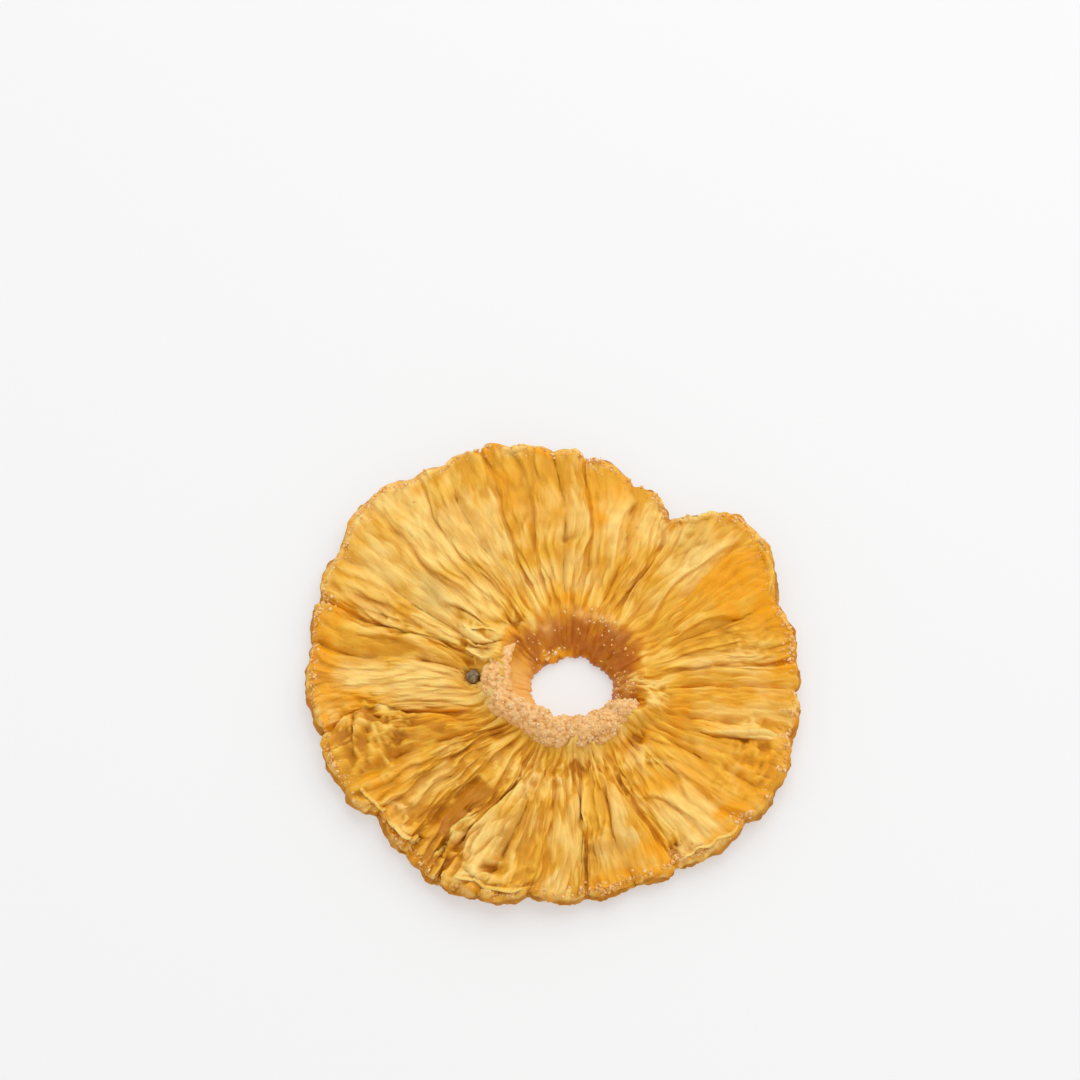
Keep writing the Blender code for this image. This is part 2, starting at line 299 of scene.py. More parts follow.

# Patches of colour: direction in degrees, then distance from the pole, half their width and half their length
# along the radius in millimetres, and how much straw, amber, brown and grey each adds. Some of the brown is
# painted shade, as marked in the rows
PATCHES = (
    (3, 35, 2.5, 3, 0, 0.7, 0, 0),
    (9, 36.5, 3, 2.2, 0, 0.9, 0, 0),
    (12, 27, 1.8, 6, 0.8, 0, 0, 0),
    (18, 35, 2.5, 1.5, 0, 1, 0, 0),
    (20, 26.5, 2.2, 2, 0.1, 0, 0.4, 0),
    (26, 34, 4.5, 3, 0, 1.1, 0, 0),
    (34, 36.5, 3, 4, 0, 1.1, 0.15, 0),
    (30, 29.5, 4, 3, 0, 1, 0, 0),
    (44, 30, 2.5, 6, 0.7, 0, 0, 0),
    (52, 32, 4, 4.5, 0.3, 0, 0.2, 0.6),
    (57, 36.5, 3.5, 1.2, 1, 0, 0, 0),
    (62, 35, 1, 0.8, 0, 0.6, 0.6, 0),
    (66, 32, 2.5, 4, 0.8, 0, 0, 0),
    (73, 38, 1.6, 1.2, 0, 1, 0.3, 0),
    (78, 37, 3, 3, 0.2, 0.6, 0, 0),
    (84, 33, 1.8, 6, 0, 0.6, 0.1, 0),
    (90, 27, 5, 4, 0.5, 0, 0, 0),
    (98, 20, 5, 2.5, 0.7, 0, 0, 0),
    (91, 14.5, 3, 1.2, 0, 0.9, 0.4, 0),
    (103, 35, 2.5, 6, 0, 0.2, 0.2, 0.2),
    (102, 43, 2, 1.2, 1.2, 0, 0, 0),
    (119, 45.2, 4, 1, 1, 0, 0, 0),
    (131, 46, 5.5, 1.2, 1.3, 0, 0, 0),
    (144, 46.3, 4, 1.2, 1.3, 0, 0, 0),
    (108, 7.2, 3.6, 0.9, 1.2, 0, 0, 0),
    (108.5, 38, 1.8, 5, 0, 0.6, 0.1, 0),
    (116, 30, 3, 8, 0.8, 0, 0, 0),
    (128, 34, 5, 5, 0.8, 0, 0, 0.1),
    (140, 30, 2.8, 3, 0.2, 0, 0.1, 0.9),
    (146, 36, 3, 4, 0.7, 0, 0, 0.2),
    (154, 35, 1.8, 5, 0, 0.1, 0.5, 0),
    (161.5, 29, 2.5, 4, 0, 0, 0.3, 0.3),
    (160, 40, 4, 1.8, 0, 0.9, 0.1, 0),
    (175, 40.5, 6.5, 2.4, 0, 1.3, 0.3, 0),
    (176, 31, 1.6, 8, 1.5, 0, 0, 0),
    (181.5, 26, 1.3, 5, 1.3, 0, 0, 0),
    (187, 35, 3.5, 5, 0, 0.9, 0.05, 0),
    (194, 29, 1.3, 4.5, 0, 0.5, 0.7, 0),
    (196.5, 21.5, 1.8, 4, 0, 1, 0.3, 0),
    (197, 35.5, 3, 2.2, 0, 0.4, 0.5, 0.1),
    (200.5, 30, 0.9, 3, 0, 0.2, 0.5, 0),
    (208, 34, 3, 4, 0.1, 0.5, 0, 0),
    (215, 28, 2.5, 6, 0.6, 0, 0, 0),
    (223, 32, 2.5, 5, 0, 0.6, 0.3, 0),
    # Painted shade in the groove between two lobes
    (229.5, 29, 1.5, 6.5, 0, 0.4, 0.9, 0),
    (232, 35.5, 2.2, 1.3, 0, 0.2, 0.7, 0),
    (239.5, 29, 1.8, 5, 1.1, 0, 0, 0),
    (237.5, 35, 1.6, 2.5, 0, 1, 0.4, 0),
    (246.5, 28, 2.5, 3, 0.2, 0, 0.15, 0.4),
    (255.5, 33.8, 1.5, 1.5, 0, 0.9, 0.7, 0),
    (262, 33, 1.5, 3, 1, 0, 0, 0),
    (266.5, 26, 3, 6, 0.4, 0.1, 0, 0),
    (273.5, 30, 1.3, 4, 0, 0.2, 0.4, 0.3),
    (282, 28, 4, 3.5, 0, 0.1, 0.2, 0.5),
    (283, 29.8, 0.5, 0.6, 2, 0, 0, 0),
    (277, 23.8, 2.2, 0.7, 0, 1.1, 0.2, 0),
    (289.5, 24.5, 1.1, 4, 1.3, 0, 0, 0.6),
    (284, 33, 3, 0.8, 0, 1.1, 0.2, 0),
    (296, 29, 2.5, 5, 0.1, 0.8, 0, 0),
    (305, 33.5, 3, 1, 1.2, 0, 0, 0),
    (309, 28, 2.2, 3.5, 0.5, 0, 0, 0.1),
    (312, 21.5, 3, 2.5, 0, 0.7, 0.1, 0),
    (318, 31, 1.8, 3, 1, 0, 0, 0),
    (323, 34, 3, 1.5, 0, 1, 0, 0),
    (326, 24, 2, 5, 0.4, 0.3, 0, 0),
    (333, 34, 3, 1.5, 0, 0.9, 0.15, 0),
    (336, 33, 2.6, 2, 0, 0.9, 0.4, 0),
    (339.5, 29.5, 1.2, 2.4, 0, 0.5, 0.5, 0),
    (343, 30, 1.1, 4, 1.4, 0, 0, 0),
    (350, 28, 2.5, 6, 0.4, 0, 0, 0),
    (355, 27, 2, 8, -0.4, 0.3, 0, 0),
    (348, 17, 4, 1.8, 0, 0.9, 0.2, 0),
    (323, 13.8, 2.2, 1, 0, 1.1, 0.5, 0),
    # These last two: painted shadow under the collar's front, in the gaps between the pleats
    (272.5, 13, 1.8, 1.2, 0, 0, 0.8, 0),
    (212, 13.3, 3, 1, 0, 0, 0.7, 0),
)

# Frosted places on the funnel: direction in degrees, then distance from the pole, half their width and half
# their length in millimetres, and how frosted they are
FROSTED = (
    (75, 13.4, 3.6, 1, 1),
    (48, 12.6, 2, 0.8, 0.6),
    (112, 12.2, 1.8, 1.4, 0.8),
    (3, 8.8, 2.6, 1.8, 1),
)

# Folds that stand out: direction and distance of the start, the middle and the end, and then the width of the
# gentle side and the height in millimetres. From the start to the end, the steep side is on the right
RIDGES = (
    (144, 26.5, 137.5, 22.5, 139.5, 17.5, 1, 1),
    (147, 21.5, 147, 16.8, 138, 14.6, 0.9, 1.1),
    (150.5, 20, 151, 17, 146, 15.2, 0.8, 0.9),
    (156.5, 19, 157, 16.6, 161, 14.4, 0.8, 1),
    (166.5, 39, 163.5, 31, 168.5, 23, 1.1, 0.6),
    (154, 42, 157.5, 33, 160, 24.5, 1, 0.5),
    (191.5, 27, 190.5, 34, 192.5, 39, 1, 1.2),
    (196.5, 31, 193.5, 34.4, 201.5, 36.3, 0.9, 1.3),
    (215, 35.8, 219.5, 36, 226.5, 33.4, 0.9, 1.1),
    (232.8, 23.5, 232, 30, 238, 38, 0.9, 1.2),
    (241, 22, 237.5, 27.5, 237, 33, 1, 0.6),
    (241, 33.5, 245, 34.8, 250, 34.2, 0.8, 0.9),
    (341, 22, 342.5, 27.5, 343.5, 34, 0.9, 0.9),
    (313, 16, 323.5, 21, 317.5, 28, 0.9, 0.6),
    (301.5, 21.5, 314, 23.6, 314.5, 32.5, 1, 0.6),
    (272.5, 15, 274.5, 22, 272.5, 30, 0.8, 0.6),
    (286, 14.5, 288.5, 20, 285, 31, 0.8, 0.5),
    (74, 20, 75.5, 30, 72, 36, 0.8, 0.5),
    (43, 17, 46.5, 25, 42, 38, 1, 0.7),
    (25, 17, 27, 24, 21, 33, 0.9, 0.6),
    (7, 13.5, 8.5, 20, 4.5, 33, 0.9, 0.45),
)

# Thin curled flaps: direction in degrees of the start and the end, share of the way from the collar to the
# rim of both, and height and lean outwards in millimetres
FLAPS = (
    (48, 60, 0.93, 0.97, 0.7, 0.9),
    (99, 106, 0.96, 0.97, 0.6, 0.7),
    (205, 214, 0.89, 0.96, 0.8, 0.8),
    (214, 227, 0.92, 0.9, 1, 1),
    (230.5, 233.5, 0.93, 0.55, 0.9, -0.8),
    (344.5, 342, 0.88, 0.45, 0.6, 0.6),
    (156.5, 163.5, 0.13, 0.07, 0.8, -0.5),
    (146, 139, 0.28, 0.09, 0.7, 0.6),
    (240, 257, 0.93, 0.94, 0.8, 0.9),
    (300, 321, 0.95, 0.97, 0.4, 0.6),
    (24, 40, 0.94, 0.96, 0.6, 0.8),
)

# The photograph's frame, how wide the ring is in it and where the ring's middle is, in pixels
FRAME_PIXELS = 1080
RING_WIDTH_PIXELS = 490
RING_PIXEL = (553, 667)

# The camera's sensor in millimetres, and the nearest that it sees, in metres
SENSOR = 36.0
CLIP_START = 0.01

# The floor: points along its side, and how far below the ring it lies, in millimetres
FLOOR_POINTS = 9
FLOOR_BELOW = 0.05

# The key light: where it comes from, how far off it is and how wide, in metres
KEY_DIRECTION = (0.35, 0.75, 1.15)
KEY_DISTANCE = 0.8
KEY_SIZE = 1.0

OPENING = np.array(frame["record"]["physics"]["openings"][0]["box_m"]).mean(axis=0)[:2] / MM
POLE = OPENING - np.array((0, HOLE_BACK))


def chosen(group):
    """The add-on's settings of one group."""
    return getattr(bpy.context.scene, "pineapple_" + group)


# The solid's own surface, repeated

def smooth(low, high, value):
    """0 below low, 1 above high, and an S curve between them."""
    share = held((value - low) / (high - low))
    return share * share * (3 - 2 * share)


def held(value):
    """The value kept from 0 to 1."""
    return np.clip(value, 0, 1)


def hump(value, middle, spread):
    """1 at the middle, falling as a bell curve does over the spread."""
    return np.exp(-(((value - middle) / spread) ** 2))


def stacked(*parts):
    """The parts side by side along a new last axis."""
    return np.stack(np.broadcast_arrays(*parts), axis=-1)


def whole_turn(angle):
    """An angle in degrees, from 0 to 360."""
    return np.degrees(np.mod(angle, TAU))


def across(angle, borders):
    """The strip between two neighbouring borders that an angle lies in, and how far across it."""
    edges = np.append(borders, borders[0] + TAU) - borders[0]
    turn = np.mod(angle - borders[0], TAU)
    strip = np.clip(np.searchsorted(edges, turn + ROUNDING, side="right") - 1, 0, len(borders) - 1)
    return strip, held((turn - edges[strip]) / (edges[strip + 1] - edges[strip]))


def between(values, strip, share):
    """A value that goes smoothly from one border's to the next one's."""
    blend = smooth(0, 1, share)
    return values[strip] * (1 - blend) + values[(strip + 1) % len(values)] * blend


def pleat_borders():
    """Where the pleats meet, and each pleat's size: a lobe is cut into uneven pleats of about PLEAT_DEG."""
    draw = np.random.default_rng(PLEAT_SEED)
    borders = []
    for start, width in zip(CREASE_ANGLE, LOBE_WIDTH):
        count = max(1, round(width / np.radians(PLEAT_DEG)))
        sizes = 1 + PLEAT_UNEVENNESS * draw.uniform(-1, 1, count)
        ends = np.cumsum(sizes) / sizes.sum()
        borders += [start + width * end for end in (0, *ends[:-1])]
    return np.array(borders), draw.uniform(1 - PLEAT_UNEVENNESS, 1 + PLEAT_UNEVENNESS, len(borders))


PLEAT_BORDER, PLEAT_SIZE = pleat_borders()


def outline(angle):
    """Distance from the pole to the rim: an eccentric circle, drawn in at the creases and full between."""
    side = POLE_FROM_CENTRE
    along = -side[0] * np.cos(angle) - side[1] * np.sin(angle)
    beside = side[1] * np.cos(angle) - side[0] * np.sin(angle)
    lobe, share = across(angle, CREASE_ANGLE)
    reach = between(CREASE_REACH, lobe, share)
    return along + np.sqrt(RING_RADIUS**2 - beside**2) + reach + LOBE_BULGE * np.sin(np.pi * share)


def rope(angle):
    """1 where the collar is a raised rope, and 0 behind the hole, where it is a bare funnel."""
    turn = whole_turn(angle)
    rising = smooth(ROPE_FROM_DEG - ROPE_FADE_DEG, ROPE_FROM_DEG + ROPE_FADE_DEG, turn)
    falling = smooth(ROPE_TO_DEG - ROPE_FADE_DEG, ROPE_TO_DEG, turn)
    return rising * (1 - falling)


def rope_radius(angle):
    """The rope's distance from the pole: near in front, and further out at the sides."""
    front = smooth(ROPE_FRONT_BEGINS, ROPE_FRONT_FULL, -np.sin(angle))
    return ROPE_SIDE_RADIUS - (ROPE_SIDE_RADIUS - ROPE_FRONT_RADIUS) * front


def shoulder(angle):
    """1 at the middle of the low shoulder at the right of the hole, falling to 0 on both sides."""
    turn = np.mod(np.degrees(angle) - SHOULDER_DEG + 180, 360) - 180
    return hump(turn, 0, SHOULDER_SPREAD_DEG)


def crest_radius(angle):
    """Where the collar is highest: on the rope's line, and further out round the funnel."""
    raised = rope(angle)
    bare = FUNNEL_CREST_RADIUS - SHOULDER_NEARER * shoulder(angle)
    return rope_radius(angle) * raised + bare * (1 - raised)


def collar_edge(angle):
    """Where the collar ends and the folded flesh begins."""
    raised = rope(angle)
    return (rope_radius(angle) + ROPE_HALF_WIDTH) * raised + FUNNEL_EDGE_RADIUS * (1 - raised)


def lump(angle):
    """The uneven lumps along the collar, from -1 to 1: short waves on longer ones."""
    return 0.6 * np.sin(LUMPS * angle + 0.7) + 0.4 * np.sin(LUMPS_LONG * angle + 2.1)


def hole_edge(angle):
    """The hole's edge: a circle moved back and widened, a little uneven, and nearer where a lump leans into
    it."""
    plan = HOLE_RADIUS + HOLE_BACK * np.sin(angle) + HOLE_WIDER * np.cos(2 * angle)
    return plan + HOLE_WAVE_HEIGHT * np.sin(HOLE_WAVES * angle + 0.4) - LUMP_INTO_HOLE * lump(angle)


def bend(angle, outward):
    """How far a pleat swings sideways on its way out, because the fibres aren't quite straight."""
    sway = np.sin(3 * angle + 0.8) * np.sin(np.pi * outward) + 0.5 * np.sin(8 * angle) * np.sin(TAU * outward)
    return np.radians(BEND_DEG) * sway


def top_base(radius, angle, outward):
    """The top face without its folds: lip, collar, moat, crown and rim. The rope is lower than the solid's by
    what the collar's own piece adds to it."""
    raised = rope(angle)
    foot = MOAT_LEVEL * raised + FUNNEL_LEVEL * (1 - raised)
    flesh = foot + (CROWN_LEVEL - foot) * smooth(0, CROWN_REACHED, outward)
    flesh = flesh - (CROWN_LEVEL - RIM_LEVEL) * smooth(RIM_BEGINS, 1, outward)
    bare_rise = FUNNEL_RISE + SHOULDER_RISE * shoulder(angle)
    rise = (ROPE_RISE - FLESH_UNDER_COLLAR) * raised + bare_rise * (1 - raised)
    crest = crest_radius(angle)
    level = flesh + rise * hump(radius, crest, COLLAR_SPREAD)
    inner = hole_edge(angle)
    inside = held((radius - inner) / (crest - inner))
    round_wall = np.sqrt(1 - (1 - inside) ** 2)
    sloping_wall = inside * (2 - inside)
    wall = raised * round_wall + (1 - raised) * sloping_wall
    return LIP_LEVEL + (level - LIP_LEVEL) * wall


def nearest_depth(lobe, share):
    """How deep the nearer of a lobe's two creases is."""
    return np.where(share < 0.5, CREASE_DEPTH[lobe], CREASE_DEPTH[(lobe + 1) % len(LOBES)])


def folds(angle, outward):
    """How far the creases and pleats go below the lobes' crests, as a positive depth."""
    lobe, share = across(angle, CREASE_ANGLE)
    crease = nearest_depth(lobe, share) * np.abs(2 * share - 1) ** CREASE_SHARPNESS
    crease = crease * smooth(0, CREASE_FULL, outward)
    pleat, share = across(angle, PLEAT_BORDER)
    taper = smooth(0, PLEAT_FULL, outward) * (1 - PLEAT_FADES_BY * smooth(PLEAT_FADES_FROM, 1, outward))
    return crease + PLEAT_HEIGHT * PLEAT_SIZE[pleat] * np.abs(2 * share - 1) ** PLEAT_SHARPNESS * taper


def rim_lift(angle, outward):
    """How far the waves of the drying flesh lift it off the surface."""
    lobe, share = across(angle, CREASE_ANGLE)
    return between(CREASE_LIFT, lobe, share) * outward**LIFT_SHARPNESS


# Noise

class Weave:
    """Gradient noise on a lattice that closes round the ring: a number of cells round it, and rows of a
    length in millimetres outwards. Each corner has a random direction, and a point takes the smooth blend of
    its four."""

    def __init__(self, around, length, seed):
        self.around = around
        self.length = length
        turn = np.random.default_rng(seed).uniform(0, TAU, (around, WEAVE_ROWS))
        self.lean = stacked(np.cos(turn), np.sin(turn))

    def __call__(self, angle, radius):
        u = np.mod(angle, TAU) / TAU * self.around
        v = np.maximum(radius, 0) / self.length
        u, v = np.broadcast_arrays(u, v)
        column = np.floor(u).astype(int)
        row = np.floor(v).astype(int)
        fu = u - column
        fv = v - row

        def corner(step_u, step_v):
            lean = self.lean[(column + step_u) % self.around, (row + step_v) % WEAVE_ROWS]
            return lean[..., 0] * (fu - step_u) + lean[..., 1] * (fv - step_v)

        ease_u = fu**3 * (fu * (fu * 6 - 15) + 10)
        ease_v = fv**3 * (fv * (fv * 6 - 15) + 10)
        near = corner(0, 0) * (1 - ease_u) + corner(1, 0) * ease_u
        far = corner(0, 1) * (1 - ease_u) + corner(1, 1) * ease_u
        return near * (1 - ease_v) + far * ease_v


# Each noise: cells round the ring, length of a row in millimetres, and seed
SWAY = Weave(13, 11.0, 1)
SWING = Weave(41, 4.6, 10)
SWELL = Weave(11, 13.0, 2)
BUNDLE = Weave(50, 6.5, 11)
COARSE = Weave(118, 7.4, 3)
MIDDLE = Weave(236, 4.8, 4)
PUCKER = Weave(88, 1.7, 6)
PATCH = Weave(21, 7.0, 7)
BLOTCH = Weave(64, 3.6, 8)
NICK = Weave(170, 1.0, 9)
LEDGE = Weave(66, 0.8, 12)
PAPER = Weave(70, 2.6, 14)
CRUST = Weave(28, 2.1, 13)


def billow(value):
    """Rounded crests with narrow valleys where the noise crosses nought, from 0 to 1."""
    return 1 - np.exp(-np.abs(value) / VALLEY)


def grains(points, size, seed):
    """Nearness to the closest of random points, one in each cubic cell of that size: 1 at a grain's middle,
    falling as a ball's height does, and 0 between the grains."""
    table = np.random.default_rng(seed).uniform(0.1, 0.9, (GRAIN_CELLS,) * 3 + (3,))
    cell = np.floor(points / size).astype(int)
    best = np.full(points.shape[:-1], np.inf)
    for step in np.ndindex(3, 3, 3):
        near = cell + np.array(step) - 1
        spot = near + table[tuple(np.moveaxis(near % GRAIN_CELLS, -1, 0))]
        best = np.minimum(best, ((points / size - spot) ** 2).sum(axis=-1))
    return np.sqrt(held(1 - best / GRAIN_REACH**2))


# The flesh's visible surface

def plan_point(degrees, radius):
    """Millimetres from the pole to the right and back, for a direction in degrees and a distance."""
    turned = np.radians(degrees)
    return radius * np.cos(turned), radius * np.sin(turned)


def bowls(places, x, y, uneven):
    """How deep the bowls are at points of the plan: one with steep, uneven sides in each place."""
    deep = np.zeros_like(x)
    for direction, away, size, depth in places:
        px, py = plan_point(direction, away)
        gap = np.hypot(x - px, y - py) * (1 + BOWL_UNEVENNESS * uneven)
        deep = np.maximum(deep, depth * np.exp(-((gap / size) ** BOWL_STEEPNESS)))
    return deep


def patches(places, angle, radius, uneven, ragged):
    """How much of each look the patches add: each is an uneven blot, longer along the radius."""
    blots = np.zeros((len(places[0]) - 4, *angle.shape))
    for direction, away, wide, long, *looks in places:
        turn = np.mod(angle - np.radians(direction) + np.pi, TAU) - np.pi
        beside = turn * radius + PATCH_RAGGED * ragged
        along = radius - away + PATCH_UNEVEN * uneven
        blot = np.exp(-(((beside / wide) ** 2 + (along / long) ** 2) ** PATCH_STEEPNESS))
        blots += np.multiply.outer(looks, blot)
    return blots


def ridges(x, y):
    """How high the folds that stand out are at points of the plan, how near their steep foot is, and how far
    they lean over. Each follows a bent line of seven stretches through its three points, gentle on the left
    and steep on the right, where its crest hangs over."""
    high = np.zeros_like(x)
    foot = np.zeros_like(x)
    over = np.zeros((*x.shape, 2))
    along = np.linspace(0, 1, RIDGE_STRETCHES + 1)[:, None]
    for row in RIDGES:
        start, middle, end = (np.array(plan_point(*row[i:i + 2])) for i in (0, 2, 4))
        handle = 2 * middle - (start + end) / 2
        line = (1 - along) ** 2 * start + 2 * along * (1 - along) * handle + along**2 * end
        nearest = np.full_like(x, np.inf)
        side = np.zeros_like(x)
        share = np.zeros_like(x)
        for number, (a, b) in enumerate(zip(line[:-1], line[1:])):
            step = b - a
            t = held(((x - a[0]) * step[0] + (y - a[1]) * step[1]) / (step @ step))
            off_x = x - a[0] - t * step[0]
            off_y = y - a[1] - t * step[1]
            gap = np.hypot(off_x, off_y)
            closer = gap < nearest
            nearest = np.where(closer, gap, nearest)
            side = np.where(closer, step[0] * off_y - step[1] * off_x, side)
            share = np.where(closer, (number + t) / RIDGE_STRETCHES, share)
        width, height = row[6:]
        tall = height * np.sqrt(held(np.sin(np.pi * share)))
        reach = width * np.where(side > 0, RIDGE_GENTLE_SIDE, RIDGE_STEEP_SIDE)
        fold = tall * np.exp(-((nearest / reach) ** RIDGE_STEEPNESS))
        travel = end - start
        right_hand = np.array((travel[1], -travel[0])) / np.hypot(*travel)
        over = np.where((fold > high)[..., None], RIDGE_OVER * fold[..., None] * right_hand, over)
        high = np.maximum(high, fold)
        below = hump(nearest, 0.65 * width, 0.4 * width) * (side < 0)
        foot = np.maximum(foot, np.minimum(tall, 1) * below)
    return high, foot, over


class Flesh:
    """The top and bottom of the flesh at given directions and distances from the pole, and its looks there.
    Fibres are billowed noise, drawn out along the radius, on the solid's lobes, creases and pleats."""

    def __init__(self, angle, radius):
        angle, radius = np.broadcast_arrays(np.asarray(angle, float), np.asarray(radius, float))
        sizes = chosen("flesh")
        self.radius = radius
        outer = outline(angle)
        begins = collar_edge(angle)
        outward = held((radius - begins) / (outer - begins))
        lobe, share = across(angle, CREASE_ANGLE)
        raised = rope(angle)
        swing = np.radians(SWAY_DEG) * SWAY(angle, radius) * (0.35 + outward)
        swing = swing + np.radians(SWING_DEG) * SWING(angle, radius)
        swayed = angle + swing
        x, y = radius * np.cos(angle), radius * np.sin(angle)

        # Lobe looks blend over the creases, and patches break them up
        soft = np.abs(2 * share - 1) ** 6
        beside = np.where(share < 0.5, (lobe - 1) % len(LOBES), (lobe + 1) % len(LOBES))

        def lobes(values):
            return values[lobe] * (1 - soft / 2) + values[beside] * soft / 2

        patch = PATCH(swayed, radius)
        blotch = BLOTCH(swayed, radius)
        smoothness = held(lobes(LOBE_SMOOTH) * smooth(0.15, 0.5, outward) + 0.7 * patch)
        rough = 1 - 0.7 * smoothness

        # Fibres of three widths: bundles near the collar, which part into narrower ones further out
        bundle = billow(BUNDLE(swayed, radius)) - 0.6
        coarse = billow(COARSE(swayed + 0.03 * patch, radius)) - 0.6
        middle = billow(MIDDLE(swayed + 0.02 * blotch, radius)) - 0.6
        bundled = smooth(8.5, 13.0, radius - 2.5 * (1 - raised)) * (0.3 + 0.7 * smooth(28, 15, radius))
        chunky = hump(whole_turn(angle), CHUNKY_DEG, CHUNKY_SPREAD_DEG)
        self.fibre = (1 + 0.4 * chunky) * (
            sizes.bundle_height / MM * bundle * bundled * (0.5 + 0.5 * rough)
            + sizes.coarse_height / MM * rough * coarse * smooth(10, 20, radius)
            + sizes.middle_height / MM * (0.4 + 0.6 * rough) * middle * smooth(16, 26, radius)
        )
        self.fibrous = np.clip((0.35 + 0.65 * rough + 0.8 * patch) * smooth(11, 25, radius), 0.12, 1)
        pucker = sizes.pucker_height / MM * PUCKER(swayed, radius)
        pucker = pucker * smooth(-0.2, 0.3, patch + 0.3 * lobes(LOBE_GREY))
        swell = sizes.swell_height / MM * SWELL(angle, radius) * smooth(0.05, 0.4, outward)

        # A slit runs along each crease, deeper in some stretches
        creased = np.mod(swayed, TAU)
        lobe, share = across(creased, CREASE_ANGLE)
        off_crease = np.minimum(share, 1 - share) * LOBE_WIDTH[lobe] * radius
        nearest = nearest_depth(lobe, share)
        stretch = smooth(-0.35, 0.15, blotch) * smooth(0.02, 0.3, outward)
        slit = sizes.slit_depth / MM * nearest * hump(off_crease, 0, SLIT_WIDTH) * stretch
        # Painted shade along the creases, used only in the colour
        self.crease = hump(off_crease, 0, CREASE_SHADE_WIDTH) * held(nearest / 1.6) * stretch

        uneven = blotch + 0.7 * NICK(angle, radius)
        pit = bowls(PITS, x, y, uneven)
        crumpled = bowls(CRUMPLES, x, y, uneven) * smooth(0.99, 0.93, outward)
        paper = 1 - np.minimum(1, np.abs(PAPER(angle, radius) + 0.3 * NICK(angle, radius)) / 0.32)
        crumple = crumpled * (paper - 0.45)
        crust = CRUST(angle, radius)
        ledge = LEDGE(angle, radius)
        sticky = (0.6 * crust + 0.35 * ledge) * (1 - raised) * smooth(13.5, 11.0, radius)
        beside_rope = smooth(begins - 1.8, begins - 0.8, radius) * smooth(begins + 1.9, begins - 0.2, radius)
        climb = CLIMB_HEIGHT * raised * beside_rope * smooth(-0.12, 0.3, crust + 0.5 * ledge)
        ridge, foot, self.over = ridges(x, y)
        depth = sizes.fold_share * folds(creased, outward)
        more_straw, more_amber, more_brown, more_grey = patches(PATCHES, swayed, radius, patch, blotch)
        frosted = patches(FROSTED, swayed, radius, patch, blotch)[0]
        flute = billow(BUNDLE(swayed, 0.35 * radius)) - 0.5
        flute = FLUTE_DEPTH * flute * (1 - raised) * smooth(14.5, 12.5, radius)
        flute = flute * smooth(7.0, 9.0, radius) * (0.6 + patch)
        lift = rim_lift(angle, outward)
        ragged = RIM_RAGGED * NICK(angle, radius) * smooth(0.9, 0.97, outward)
        curl = RIM_CURL * smooth(0.92, 0.98, outward) * smooth(-0.2, 0.25, blotch)
        free = smooth(FOOT_OUTER_RADIUS, FOOT_OUTER_RADIUS + FOOT_FADE, radius)
        under = 0.45 * np.minimum(0, self.fibre) + 0.25 * swell + 0.3 * BLOTCH(angle, radius)
        self.bottom = np.maximum(0, free * (lift + UNDERSIDE_SHARE * depth - UNDERSIDE_SAG - under))
        top = top_base(radius, angle, outward) + lift - depth
        top = top + self.fibre + pucker + swell + sticky + flute - slit - pit + crumple
        top = top + RIDGE_SHARE * ridge - RIDGE_FOOT_DEPTH * foot + curl + ragged + climb
        self.top = np.maximum(top, self.bottom + THINNEST)

        # Sideways: the solid's bend, and lobes and fibres that lean over
        lean = LOBE_LEAN * LOBE_LEANS[lobe] * (1 - np.abs(2 * share - 1) ** 2.2) * smooth(0.05, 0.5, outward)
        lean = lean + 0.8 * self.fibre * np.sign(LOBE_LEANS[lobe]) * smooth(0.0, 0.2, outward)
        self.turned = angle + bend(angle, outward) + lean / np.maximum(radius, 8)

        # Looks: the lobe's own and the patches', deeper ones in creases, pits and the funnel, which are
        # mostly painted shade, and paler ones on crests, which are painted light
        bare = 1 - raised
        wall = smooth(crest_radius(angle) + 0.7, crest_radius(angle) - 2.4, radius + 3 * crust + 2 * blotch)
        funnel = bare * wall
        inner_wall = raised * smooth(begins - 2.0, begins - 3.6, radius)
        # The relief: how high a point stands, which the finish turns into painted light and shade, paler on
        # crests and darker in valleys
        standing = (self.fibre + flute) / 0.45 - 0.3 * self.crease
        standing = standing + 0.5 * ridge + 1.1 * crumple + 0.3 * climb
        self.relief = held(0.55 + standing)
        dusted = smooth(0.93, 0.99, outward) * smooth(-0.15, 0.2, ledge)
        # Straw: the lobes' and the patches' real paleness, with painted light on the ridges' and the
        # crumples' crests
        straw = 0.7 * lobes(LOBE_STRAW) + 0.8 * patch + 0.5 * blotch + more_straw
        straw = straw + 0.7 * ridge - 0.6 * more_amber
        straw = straw + 0.8 * dusted * (1 - 0.7 * held(more_amber)) + 0.9 * crumple
        self.straw = held(straw - funnel - inner_wall)
        amber = 0.4 * lobes(LOBE_AMBER) * smooth(-0.35, 0.3, patch) * smooth(0.1, 0.6, outward)
        rim_glow = smooth(0.86, 0.97, outward) * smooth(-0.1, 0.25, patch + 0.7 * blotch)
        rim_glow = 0.9 * rim_glow * (1 - 0.8 * dusted) * (1 - held(more_straw))
        amber = np.maximum(amber + more_amber * (0.75 + 1.3 * blotch), rim_glow)
        # Amber also gathers at the ridges' steep feet: painted shadow
        self.amber = held(amber + 0.25 * foot + 0.9 * funnel)
        brown_share = 0.5 * lobes(LOBE_BROWN) * smooth(-0.3, 0.35, blotch + patch) * smooth(0.2, 0.6, outward)
